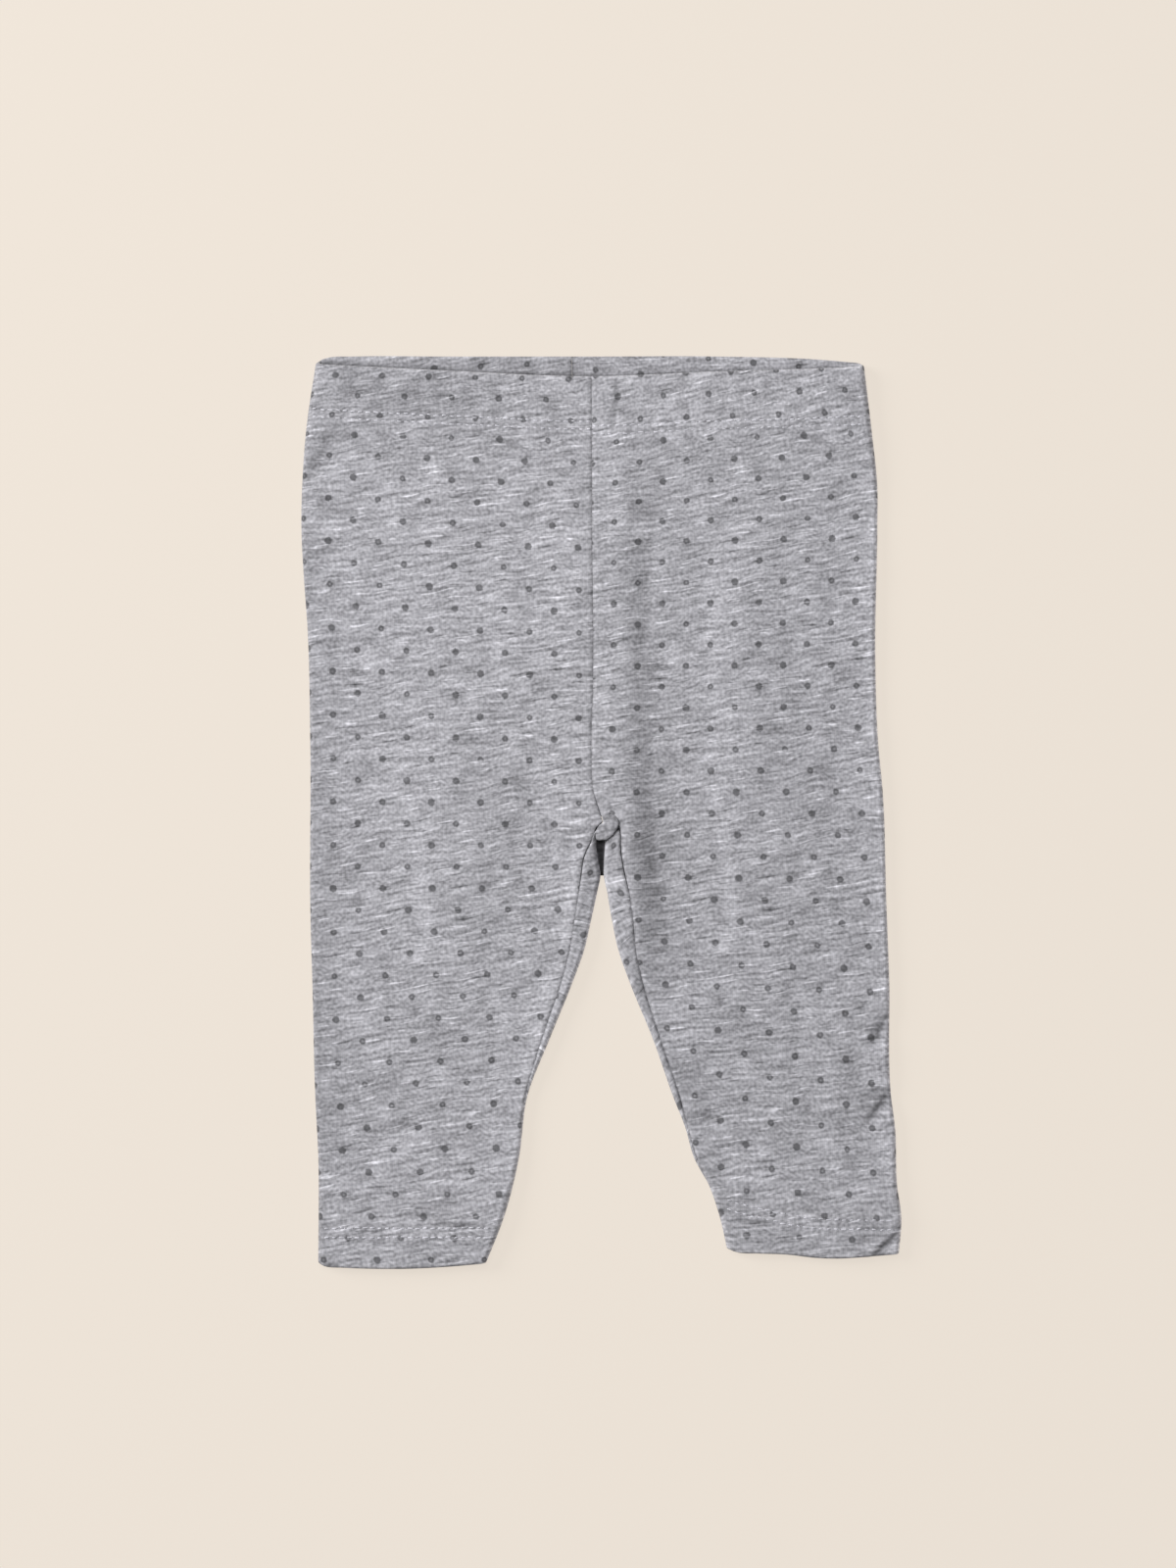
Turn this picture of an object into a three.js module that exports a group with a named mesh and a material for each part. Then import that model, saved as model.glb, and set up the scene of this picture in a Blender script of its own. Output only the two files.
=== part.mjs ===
import * as THREE from 'three';

// Baby leggings in slub jersey, laid flat on their back, waist towards +Y, front up.
// Millimetres, +Z up, origin on the surface they lie on, at the middle of their box.
// Right and left are the wearer's, so the right leg lies on the -X side.

const clothWall = 1.0; // one layer of jersey, with the air in its fluff
const bandWall = 2.0; // casing or hem: two layers, and the elastic in the casing
const seamGap = 0.3; // clearance between pieces at a seam
const restHeight = 2.7; // top of the two layers where they lie close together
const leastHeight = 2.4;
const foldLoft = 1.1; // extra height where the cloth rolls round a fold
const foldReach = 9;
const bandHeight = 5.0; // top of the casing and of the hems
const casingShoulder = 6; // cloth that stays level beside the casing, then beside a hem
const hemShoulder = 4;
const bandReach = 13; // how far the cloth past a shoulder takes to come down

const waistLevel = 180; // highest point of the back casing
const casingDepth = 20.6; // top edge to the lower row of stitches
const hemLevel = -164.6; // upper row of hem stitches
const rowSpacing = 12.5; // distance between the rings of a leg
const crotchLift = 0.6; // seam allowances under the crotch
const crotchReach = 14;
const crotchMiddle = -10;
const crotchStart = 8; // last level ring above the crotch
const crotchSpacing = 6; // from the last crotch ring to the next level one
const innerLoftEnds = [-45, 0]; // levels between which the loft of the inner folds fades out
const sagEnd = 40; // the sag of the waist edge fades out between this level and the casing
const hemSlopeReach = 55; // the slope of a hem fades out over this length of leg
const leastStrip = 0.9; // flat cloth kept between the inner fold and the inseam

// Points across one ring, counted along each stretch of it
const across = { front: 13, outerFold: 6, back: 9, innerFold: 6, strip: 3 };
const tailRun = 12; // end of the back above the crotch that carries the last stretches

const waistColour = '#a5a4a9';
const legColour = '#a3a2a8';
const hemColour = '#a09fa5';

// A smooth function of its first column through a short table. Rows run with that column rising.
function smoothTable(columns, lines) {
  const at = lines.map((line) => line[0]);
  const values = lines.flatMap((line) => line.slice(1));
  const spline = new THREE.CubicInterpolant(at, values, columns.length - 1);
  return (x) => {
    const found = spline.evaluate(THREE.MathUtils.clamp(x, at[0], at[at.length - 1]));
    return Object.fromEntries(columns.slice(1).map((name, i) => [name, found[i]]));
  };
}

const rowsOf = (columns, lines) =>
  lines.map((line) => Object.fromEntries(columns.map((name, i) => [name, line[i]])));

// Outline of the waist, seen from above: the front edge sags below the back edge
const waistEdge = smoothTable(['x', 'front', 'back'], [
  [-113, 176.9, 178.0],
  [-108, 176.5, 179.6],
  [-98, 176.0, 180.0],
  [-60, 174.1, 180.0],
  [-5, 171.9, 180.0],
  [47, 173.8, 180.0],
  [86, 175.0, 178.8],
  [104, 175.8, 177.2],
]);

// Centre seams above the crotch: the front one on top, the back one on the underside
const centreSeams = smoothTable(['y', 'front', 'back'], [
  [0, -1.0, 0.0],
  [8, -3.1, -1.4],
  [24, -3.9, -3.8],
  [50, -3.3, -5.8],
  [73, -3.2, -7.4],
  [96, -3.5, -8.6],
  [143, -3.7, -10.4],
  [180, -3.9, -11.8],
]);

// Rings round the crotch. front, inner and end are plan points: where the ring starts on top,
// the inner fold that it meets, and where it ends. turn is how far it rolls over that fold (1: all
// the way to the top), and run the length of the flat end of the back that carries its last stretches.
const crotchColumns = ['frontX', 'frontY', 'outerY', 'innerX', 'innerY', 'endX', 'endY',
  'turn', 'run'];

// Each leg: its outer fold at each level, and below the crotch its inseam, which lies on top,
// and the fold of its inner edge
const rightLeg = {
  side: -1,
  outerFold: smoothTable(['y', 'x'], [
    [-180, -111.9],
    [-137, -111.9],
    [-113, -113.1],
    [-67, -114.3],
    [-43, -115.0],
    [26, -115.1],
    [73, -116.2],
    [96, -117.8],
    [114, -118.6],
    [131, -118.3],
    [154, -116.6],
    [180, -112.8],
  ]),
  innerEdge: smoothTable(['y', 'inseam', 'fold'], [
    [-180, -44.0, -46.0],
    [-160, -37.0, -38.2],
    [-137, -31.5, -32.4],
    [-113, -30.0, -29.3],
    [-90, -23.5, -20.4],
    [-67, -15.7, -11.1],
    [-55, -12.6, -6.8],
    [-43, -10.6, -4.0],
    [-30, -8.5, -1.2],
  ]),
  hemEdge: smoothTable(['x', 'stitch', 'edge'], [
    [-112, -164.6, -177.7],
    [-106, -164.6, -179.6],
    [-92, -164.6, -180.0],
    [-70, -164.6, -179.9],
    [-50, -164.6, -178.4],
    [-44, -164.6, -177.0],
  ]),
  crotch: rowsOf(crotchColumns, [
    [-1.3, 1.2, 1.5, 0.0, 1.5, 0.0, 1.5, 0, 9],
    [-0.3, -1.8, -1.5, 0.2, -0.8, 0.2, -0.8, 0, 6],
    [0.1, -2.9, -3.5, 0.3, -3.2, 0.3, -3.2, 0.35, 3],
    [0.2, -3.8, -5.5, 0.3, -5.4, 0.3, -5.4, 0.65, 1.5],
    [-2.8, -5.4, -8.0, 0.2, -7.6, -2.5, -7.2, 1, 0],
    [-3.6, -8.8, -11.0, 0.0, -10.4, -3.1, -9.4, 1, 0],
    [-4.4, -11.6, -14.5, -1.6, -13.0, -3.9, -12.0, 1, 0],
    [-5.3, -14.6, -18.0, -1.8, -16.0, -4.9, -15.0, 1, 0],
    [-7.0, -18.6, -22.0, -1.4, -19.8, -6.6, -18.9, 1, 0],
    [-7.9, -23.4, -26.5, -0.9, -25.0, -7.5, -23.6, 1, 0],
  ]),
};

const leftLeg = {
  side: 1,
  outerFold: smoothTable(['y', 'x'], [
    [-176, 117.6],
    [-160, 118.6],
    [-148, 117.0],
    [-125, 116.2],
    [-113, 114.7],
    [-67, 113.9],
    [-34, 112.7],
    [8, 111.3],
    [26, 109.6],
    [60, 108.4],
    [114, 109.2],
    [131, 109.2],
    [154, 106.9],
    [180, 103.8],
  ]),
  innerEdge: smoothTable(['y', 'inseam', 'fold'], [
    [-176, 48.6, 50.2],
    [-160, 45.0, 46.6],
    [-148, 41.5, 42.5],
    [-137, 37.8, 36.7],
    [-125, 34.2, 33.2],
    [-113, 31.2, 28.5],
    [-90, 23.4, 20.4],
    [-67, 16.3, 11.0],
    [-55, 13.7, 6.8],
    [-43, 12.6, 4.2],
    [-34, 11.3, 2.6],
  ]),
  hemEdge: smoothTable(['x', 'stitch', 'edge'], [
    [46, -156.0, -172.9],
    [56, -157.6, -173.6],
    [70, -161.2, -174.9],
    [84, -163.4, -175.6],
    [110, -163.9, -175.5],
    [118, -163.9, -173.6],
  ]),
  crotch: rowsOf(crotchColumns, [
    [-1.0, 1.2, 1.5, 0.3, 1.5, 0.3, 1.5, 0, 9],
    [0.0, -1.8, -1.5, 0.5, -0.8, 0.5, -0.8, 0, 6],
    [0.5, -2.9, -3.5, 0.7, -3.2, 0.7, -3.2, 0.35, 3],
    [0.9, -3.8, -5.5, 0.7, -5.4, 0.7, -5.4, 0.65, 1.5],
    [4.2, -5.4, -8.0, 0.8, -7.6, 3.7, -7.0, 1, 0],
    [6.6, -8.0, -11.0, 1.0, -10.4, 6.0, -9.0, 1, 0],
    [7.7, -11.2, -14.5, 2.3, -13.0, 7.2, -11.5, 1, 0],
    [8.0, -15.0, -18.0, 1.7, -16.5, 7.6, -15.2, 1, 0],
    [8.5, -19.6, -22.0, 1.3, -20.8, 8.1, -19.8, 1, 0],
    [9.8, -24.6, -27.0, 1.5, -26.0, 9.4, -24.7, 1, 0],
  ]),
};

// Folds of the top layer: soft ridges (height above 0) and troughs (below 0) along a line
const folds = rowsOf(['x1', 'y1', 'x2', 'y2', 'width', 'height'], [
  [-3.6, 140, -3.4, 30, 13, 1.5],
  [-3.0, 26, 0, 2, 9, 0.5],
  [11, -24, 16, -66, 7, 0.8],
  [-9, -22, -14, -62, 6, 0.6],
  [26, 130, 22, 60, 8, -0.5],
  [25, 20, 26, -50, 9, -0.6],
  [-118, 131, -94, 158, 5, -1.0],
  [-106, 124, -92, 140, 6, 0.6],
  [-26.5, 16, -26.5, -36, 6, -0.7],
  [-60, 60, -52, -70, 18, 0.9],
  [-84, 20, -78, -110, 10, -0.5],
  [64, 90, 68, -60, 18, 1.0],
  [80, -96, 82, -136, 7, -0.7],
  [96, -60, 90, -130, 8, 0.7],
  [114, -82, 108, -92, 4, -1.1],
  [115, -108, 104, -122, 4.5, -1.1],
  [57, -160, 70, -150, 8, -0.8],
  [-72, -130, -58, -156, 9, 0.7],
]);

const gauss = (distance, width) => Math.exp(-((distance / width) ** 2));
const smooth = (x, from, to) => THREE.MathUtils.smoothstep(x, from, to);

function foldHeight(x, y) {
  let sum = 0;
  for (const fold of folds) {
    const along = new THREE.Vector2(fold.x2 - fold.x1, fold.y2 - fold.y1);
    const reach = new THREE.Vector2(x - fold.x1, y - fold.y1);
    const part = THREE.MathUtils.clamp(reach.dot(along) / along.lengthSq(), 0, 1);
    const taper = 0.35 + 0.65 * Math.sin(Math.PI * part);
    const distance = reach.sub(along.multiplyScalar(part)).length();
    sum += fold.height * taper * gauss(distance, fold.width);
  }
  return sum;
}

// How near a level is to the casing or the hem: 1 in the band, 0 where the cloth lies down again
function bandShare(y) {
  const fromWaist = Math.max(0, waistLevel - casingDepth - casingShoulder - y);
  const fromHem = Math.max(0, y - hemLevel - hemShoulder);
  return Math.max(gauss(fromWaist, bandReach), gauss(fromHem, bandReach));
}

// Height of the garment's upper face above the floor
function topHeight(leg, x, y) {
  let loft = foldLoft * gauss(x - leg.outerFold(y).x, foldReach);
  const belowCrotch = 1 - smooth(y, ...innerLoftEnds);
  loft += foldLoft * belowCrotch * gauss(x - leg.innerEdge(y).fold, foldReach);
  loft += crotchLift * gauss(Math.hypot(x, y - crotchMiddle), crotchReach);
  const open = Math.max(leastHeight, restHeight + loft + foldHeight(x, y));
  return THREE.MathUtils.lerp(open, bandHeight, bandShare(y));
}

// The cloth below the casing follows the sag of the waist edge, less and less further down
function waistShift(x, y, onTop) {
  const edge = waistEdge(x);
  const sag = THREE.MathUtils.lerp(edge.back, edge.front, onTop) - waistLevel;
  return sag * smooth(y, sagEnd, waistLevel - casingDepth);
}

function hemShift(leg, x, y) {
  return (leg.hemEdge(x).stitch - hemLevel) * (1 - smooth(y, hemLevel, hemLevel + hemSlopeReach));
}

// Where a ring leaves the flat to roll round a fold that lies at edge, and the radius of the roll
function rollStart(edge, aim, wall, heightAt) {
  let roll = 0;
  const start = edge.clone();
  for (let pass = 0; pass < 4; pass++) {
    start.copy(edge).addScaledVector(aim, -wall / 2 - roll);
    roll = (heightAt(start.x, start.y) - wall) / 2;
  }
  return { start, roll };
}

// One ring of a leg as middle points of its wall: front, outer fold, back, then the inner fold
// and the strip of back cloth on top of it
function ring(leg, row, wall, levelOf) {
  const points = [];
  const put = (x, y, z, onTop) => points.push(new THREE.Vector3(x, levelOf(x, y, onTop), z));
  const heightAt = (x, y) => topHeight(leg, x, levelOf(x, y, 1));
  const layTop = (x, y) => put(x, y, heightAt(x, y) - wall / 2, 1);
  const roundFold = ({ start, roll }, aim, angle) => {
    const reach = roll * Math.sin(angle);
    const lift = roll * (1 - Math.cos(angle));
    put(start.x + aim.x * reach, start.y + aim.y * reach, wall / 2 + lift, lift / (2 * roll));
  };

  const outward = new THREE.Vector2(leg.side, 0);
  const inward = new THREE.Vector2(-leg.side, 0);
  const outer = rollStart(new THREE.Vector2(row.outerX, row.outerY), outward, wall, heightAt);
  for (let i = 0; i < across.front; i++) {
    const part = i / across.front;
    const y = THREE.MathUtils.lerp(row.frontY, row.outerY, Math.min(1, part * 2.2));
    layTop(THREE.MathUtils.lerp(row.frontX, outer.start.x, part), y);
  }
  for (let i = 0; i < across.outerFold; i++) {
    roundFold(outer, outward, Math.PI * (1 - i / across.outerFold));
  }

  // The back lies flat as far as its last stretches, which either end flat or roll over the fold
  const flatEnd = { start: new THREE.Vector2(row.endX, row.endY), roll: 0 };
  const innerEdge = new THREE.Vector2(row.innerX, row.innerY);
  const inner = row.turn > 0 ? rollStart(innerEdge, inward, wall, heightAt) : flatEnd;
  const tail = inner.start.clone().addScaledVector(outward, row.run);
  for (let i = 0; i < across.back; i++) {
    const part = (i / across.back) ** 0.9;
    const y = THREE.MathUtils.lerp(row.outerY, row.innerY, Math.max(0, part * 2 - 1));
    put(THREE.MathUtils.lerp(outer.start.x, tail.x, part), y, wall / 2, 0);
  }
  if (row.turn === 1) {
    for (let i = 0; i < across.innerFold; i++) {
      roundFold(inner, inward, Math.PI * i / across.innerFold);
    }
    for (let i = 0; i <= across.strip; i++) {
      const part = i / across.strip;
      layTop(THREE.MathUtils.lerp(inner.start.x, row.endX, part),
        THREE.MathUtils.lerp(inner.start.y, row.endY, part));
    }
    return points;
  }
  const arc = Math.PI * row.turn * inner.roll;
  const count = across.innerFold + across.strip;
  for (let i = 0; i <= count; i++) {
    const gone = (row.run + arc) * i / count;
    if (gone > row.run) {
      roundFold(inner, inward, (gone - row.run) / inner.roll);
    } else {
      put(THREE.MathUtils.lerp(tail.x, inner.start.x, gone / row.run), inner.start.y, wall / 2, 0);
    }
  }
  return points;
}

// A ring that follows one level. Above the crotch it runs from the front seam to the back seam,
// and below it from the inseam over the inner fold and back to the inseam. outerLevel and
// innerLevel are where its two ends lie once the slope of the hem has moved them.
function levelRow(leg, y, wall, outerLevel = y, innerLevel = y) {
  const row = {
    frontY: y, outerX: leg.outerFold(outerLevel).x, outerY: y, innerY: y, endY: y,
    run: y > 0 ? tailRun : 0,
  };
  const halfGap = leg.side * seamGap / 2;
  if (y > 0) {
    const { front, back } = centreSeams(y);
    return { ...row, frontX: front + halfGap, innerX: back + halfGap, endX: back + halfGap, turn: 0 };
  }
  const { inseam, fold } = leg.innerEdge(innerLevel);
  const roll = (topHeight(leg, fold, innerLevel) - wall) / 2;
  const strip = Math.max((inseam - fold) * leg.side, wall / 2 + roll + leastStrip);
  const seam = fold + leg.side * strip;
  return { ...row, frontX: seam + halfGap, innerX: fold, endX: seam - halfGap, turn: 1 };
}

// A closed wall round the middle points of a grid of rings. half gives half its thickness.
function wallAround(rings, half) {
  const nu = rings[0].length;
  const nv = rings.length;
  const outside = [];
  const inside = [];
  for (let j = 0; j < nv; j++) {
    for (let i = 0; i < nu; i++) {
      const here = rings[j][i];
      const du = rings[j][Math.min(i + 1, nu - 1)].clone().sub(rings[j][Math.max(i - 1, 0)]);
      const dv = rings[Math.min(j + 1, nv - 1)][i].clone().sub(rings[Math.max(j - 1, 0)][i]);
      const normal = du.cross(dv).normalize().multiplyScalar(half(j));
      outside.push(here.clone().add(normal));
      inside.push(here.clone().sub(normal));
    }
  }
  const count = nu * nv;
  const quads = [];
  for (let j = 0; j < nv - 1; j++) {
    for (let i = 0; i < nu - 1; i++) {
      const a = j * nu + i;
      quads.push([a, a + 1, a + nu + 1, a + nu]);
      quads.push([count + a + nu, count + a + nu + 1, count + a + 1, count + a]);
    }
  }
  const rim = (a, b) => quads.push([b, a, count + a, count + b]);
  for (let i = 0; i < nu - 1; i++) {
    rim(i, i + 1);
    rim((nv - 1) * nu + i + 1, (nv - 1) * nu + i);
  }
  for (let j = 0; j < nv - 1; j++) {
    rim((j + 1) * nu, j * nu);
    rim(j * nu + nu - 1, (j + 1) * nu + nu - 1);
  }
  const geometry = new THREE.BufferGeometry();
  geometry.setFromPoints([...outside, ...inside]);
  geometry.setIndex(quads.flatMap(([a, b, c, d]) => [a, b, c, a, c, d]));
  return geometry;
}

function clothMesh(name, leg, rings, half, colour) {
  // Rings run from the waist down and from the seam outwards, so the left leg's are turned round
  // to keep the upper face outside
  const ordered = leg.side > 0 ? rings.slice().reverse() : rings;
  const halfAt = (j) => half(leg.side > 0 ? rings.length - 1 - j : j);
  const material = new THREE.MeshStandardMaterial({ color: colour, roughness: 0.9, metalness: 0 });
  const mesh = new THREE.Mesh(wallAround(ordered, halfAt), material);
  mesh.name = name;
  return mesh;
}

function evenSteps(from, to) {
  const count = Math.round(Math.abs(to - from) / rowSpacing);
  return Array.from({ length: count + 1 }, (_, i) => THREE.MathUtils.lerp(from, to, i / count));
}

function buildLeg(name, leg) {
  const levelOf = (x, y, onTop) => y + waistShift(x, y, onTop) + hemShift(leg, x, y);
  const waistEnd = waistLevel - casingDepth - seamGap / 2;
  const lastCrotch = leg.crotch[leg.crotch.length - 1];
  const levelled = (y) => {
    const innerLevel = y + hemShift(leg, leg.innerEdge(y).fold, y);
    return levelRow(leg, y, clothWall, y, innerLevel);
  };
  const fanned = leg.crotch.map((row) => {
    return { ...row, outerX: leg.outerFold(row.outerY).x };
  });
  const rows = [
    ...evenSteps(waistEnd, crotchStart).map(levelled),
    ...fanned,
    ...evenSteps(lastCrotch.outerY - crotchSpacing, hemLevel + seamGap / 2).map(levelled),
  ];
  const rings = rows.map((row) => ring(leg, row, clothWall, levelOf));
  return clothMesh(name, leg, rings, () => clothWall / 2, legColour);
}

// The edge of a band is rounded: share of its depth, and share of its wall there
const bandEdge = rowsOf(['depth', 'wall'], [
  [0, 1], [0.45, 1], [0.92, 1], [0.98, 0.8], [1, 0.4],
]);

function buildWaistband(name, leg) {
  const from = waistLevel - casingDepth + seamGap / 2;
  const levelOf = (x, y, onTop) => y + waistShift(x, y, onTop);
  const rings = bandEdge.slice().reverse().map(({ depth }) => {
    return ring(leg, levelRow(leg, THREE.MathUtils.lerp(from, waistLevel, depth), bandWall),
      bandWall, levelOf);
  });
  const half = (j) => bandWall / 2 * bandEdge[bandEdge.length - 1 - j].wall;
  return clothMesh(name, leg, rings, half, waistColour);
}

function buildHem(name, leg) {
  const rings = bandEdge.map(({ depth }) => {
    const levelOf = (x) => {
      const { stitch, edge } = leg.hemEdge(x);
      return THREE.MathUtils.lerp(stitch - seamGap / 2, edge, depth);
    };
    const outerLevel = levelOf(leg.outerFold(hemLevel).x);
    const innerLevel = levelOf(leg.innerEdge(hemLevel).fold);
    const row = levelRow(leg, hemLevel, bandWall, outerLevel, innerLevel);
    return ring(leg, row, bandWall, levelOf);
  });
  const half = (j) => bandWall / 2 * bandEdge[j].wall;
  return clothMesh(name, leg, rings, half, hemColour);
}

const leggings = new THREE.Group();
for (const [side, leg] of [['right', rightLeg], ['left', leftLeg]]) {
  leggings.add(buildLeg(`leg_${side}`, leg));
  leggings.add(buildWaistband(`waistband_${side}`, leg));
  leggings.add(buildHem(`hem_${side}`, leg));
}

export default leggings;
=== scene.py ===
import math

import bpy
import numpy as np
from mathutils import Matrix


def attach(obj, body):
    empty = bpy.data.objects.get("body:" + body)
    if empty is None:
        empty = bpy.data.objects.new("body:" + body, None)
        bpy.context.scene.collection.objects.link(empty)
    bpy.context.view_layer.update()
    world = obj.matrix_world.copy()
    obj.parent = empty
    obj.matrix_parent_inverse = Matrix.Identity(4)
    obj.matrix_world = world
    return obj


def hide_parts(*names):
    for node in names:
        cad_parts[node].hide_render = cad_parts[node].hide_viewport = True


# Baby leggings in slub jersey, laid flat on their back, front up. Lengths are in millimetres in the
# frame of the CAD part and turn to metres where a mesh is made. Right and left are the wearer's,
# so the right leg lies on the -X side.
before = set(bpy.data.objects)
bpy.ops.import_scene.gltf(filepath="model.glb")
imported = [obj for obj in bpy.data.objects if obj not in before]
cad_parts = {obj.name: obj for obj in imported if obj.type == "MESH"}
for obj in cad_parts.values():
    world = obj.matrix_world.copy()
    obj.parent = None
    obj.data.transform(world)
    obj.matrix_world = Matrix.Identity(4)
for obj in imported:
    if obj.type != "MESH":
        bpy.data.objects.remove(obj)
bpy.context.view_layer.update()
print("frame loaded")

metre = 0.001

cloth = {
    "legWall": 1.0,  # jersey with the air in its fluff
    "bandWall": 2.0,  # turned over and stitched
    "rest": 2.7,  # top of two layers that lie close together
    "least": 2.4,
    "foldLoft": 1.1, "foldReach": 9,  # cloth stands higher where it rolls round a fold
    "bandHeight": 5.0, "bandReach": 20,
    "waistLevel": 180, "casingDepth": 20.6, "casingShoulder": 6,
    "hemLevel": -164.6, "hemDepth": 15.4, "hemShoulder": 4, "hemSlopeReach": 55,
    "sagEnd": 40,
    "crotchLift": 0.6, "crotchReach": 14, "crotchMiddle": -10,
    "crotchStart": 8, "crotchEnd": -33,
    "innerLoft": (-45, 0),
    "seamGap": 0.05,  # between two edges at a seam, half of it on each side
}

grid = {
    "rowStep": 1.35, "bandStep": 0.85,
    "front": 86, "outerRoll": 10, "back": 26, "tail": 24,
    "betweenCrotchRows": 6,
}


def gauss(distance, width):
    return np.exp(-(np.asarray(distance) / width) ** 2)


def smoothStep(x, low, high):
    t = np.clip((np.asarray(x, float) - low) / (high - low), 0, 1)
    return t * t * (3 - 2 * t)


def lerp(a, b, t):
    return a + (b - a) * t


# A smooth curve of each column over the first one
def smoothTable(columns, rows):
    at = np.array([row[0] for row in rows], float)
    values = np.array([row[1:] for row in rows], float)
    slopes = np.gradient(values, at, axis=0)

    def look(x):
        x = np.clip(np.asarray(x, float), at[0], at[-1])
        i = np.clip(np.searchsorted(at, x, side="right") - 1, 0, len(at) - 2)
        step = (at[i + 1] - at[i])[..., None]
        t = (x - at[i])[..., None] / step
        found = ((2 * t**3 - 3 * t**2 + 1) * values[i] + (3 * t**2 - 2 * t**3) * values[i + 1]
                 + ((t**3 - 2 * t**2 + t) * slopes[i] + (t**3 - t**2) * slopes[i + 1]) * step)
        return {name: found[..., k] for k, name in enumerate(columns[1:])}

    return look


def rowsOf(columns, rows):
    return [dict(zip(columns, row)) for row in rows]


# Waist edge from above: the front one sags, and the inside of the back casing shows behind it
waistEdge = smoothTable(["x", "front", "back"], [
    [-113, 176.9, 178.0],
    [-108, 176.5, 179.6],
    [-98, 176.0, 180.0],
    [-60, 174.1, 180.0],
    [-5, 171.9, 180.0],
    [47, 173.8, 180.0],
    [86, 175.0, 178.8],
    [104, 175.8, 177.2],
])

centreSeams = smoothTable(["y", "front", "back"], [
    [0, -1.0, 0.0],
    [8, -3.1, -1.4],
    [24, -3.9, -3.8],
    [50, -3.3, -5.8],
    [73, -3.2, -7.4],
    [96, -3.5, -8.6],
    [143, -3.7, -10.4],
    [180, -3.9, -11.8],
])

crotchColumns = ["frontX", "frontY", "outerY", "innerX", "innerY", "endX", "endY", "turn", "run"]

rightLeg = {
    "name": "right", "side": -1,
    "outerFold": smoothTable(["y", "x"], [
        [-180, -111.9], [-137, -111.9], [-113, -113.1], [-67, -114.3], [-43, -115.0],
        [26, -115.1], [73, -116.2], [96, -117.8], [114, -118.6], [131, -118.3],
        [154, -116.6], [180, -112.8],
    ]),
    "innerEdge": smoothTable(["y", "inseam", "fold"], [
        [-180, -45.4, -46.0],
        [-160, -37.8, -38.2],
        [-137, -32.2, -32.4],
        [-113, -30.0, -29.3],
        [-90, -23.5, -20.4],
        [-67, -15.7, -11.1],
        [-55, -12.6, -6.8],
        [-43, -10.6, -4.0],
        [-30, -8.6, -1.2],
    ]),
    "hemEdge": smoothTable(["x", "stitch", "edge"], [
        [-112, -164.6, -178.6],
        [-109, -164.6, -179.7],
        [-102, -164.6, -180.2],
        [-83, -164.6, -180.7],
        [-63, -164.6, -180.0],
        [-55, -164.6, -179.4],
        [-46, -164.6, -178.6],
    ]),
    # Where the dots lie: the level of each row at dotsAt, how it rises to the right, and along it
    # the place of a dot in even rows and the spacing. Odd rows lie half a spacing on.
    "dotsAt": -58.8,
    "dots": smoothTable(["level", "row", "rise", "dot", "spacing"], [
        [-194.1, 36, 0.000, -45.0, 21.2],
        [-177.0, 34, 0.000, -46.0, 21.2],
        [-159.9, 32, 0.000, -49.5, 20.6],
        [-124.5, 28, 0.018, -52.1, 20.2],
        [-73.1, 22, 0.014, -54.7, 20.2],
        [-30.4, 17, 0.001, -56.9, 19.6],
        [29.0, 10, -0.013, -57.4, 19.4],
        [63.1, 6, -0.021, -57.5, 19.5],
        [114.0, 0, -0.029, -58.7, 19.7],
        [147.4, -4, -0.030, -59.2, 19.1],
        [171.4, -7, -0.018, -58.9, 18.4],
        [197.0, -10, -0.018, -58.9, 18.4],
    ]),
    "waistRows": (-0.5, 2.6),  # rows of stitches, from the level where the casing ends
    "hemRows": (0.1, -3.5),  # and from the level where the hem begins
    "stripShift": (0.29, -0.16),
    "insideShift": (0.39, -0.36), "insideRise": (0.06, -38),
    "crotch": rowsOf(crotchColumns, [
        [-1.3, 1.2, 1.5, 0.0, 1.5, 0.0, 1.5, 0, 9],
        [-0.2, -1.8, -1.5, 0.2, -0.8, 0.2, -0.8, 0, 6],
        [0.3, -3.2, -3.5, 0.3, -3.2, 0.3, -3.2, 0.35, 3],
        [0.4, -4.4, -5.5, 0.3, -5.4, 0.3, -5.4, 0.65, 1.5],
        [-2.2, -6.6, -8.0, -0.6, -8.0, -2.0, -8.2, 1, 0],
        [-3.2, -9.4, -11.0, -1.8, -10.8, -3.0, -9.7, 1, 0],
        [-4.6, -12.6, -14.5, -2.0, -13.6, -4.3, -12.8, 1, 0],
        [-6.1, -15.6, -18.0, -1.6, -16.6, -5.8, -15.8, 1, 0],
        [-7.3, -19.0, -22.0, -1.1, -20.2, -7.0, -19.2, 1, 0],
        [-8.0, -24.0, -26.5, -0.3, -25.4, -7.7, -24.2, 1, 0],
    ]),
}

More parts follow.
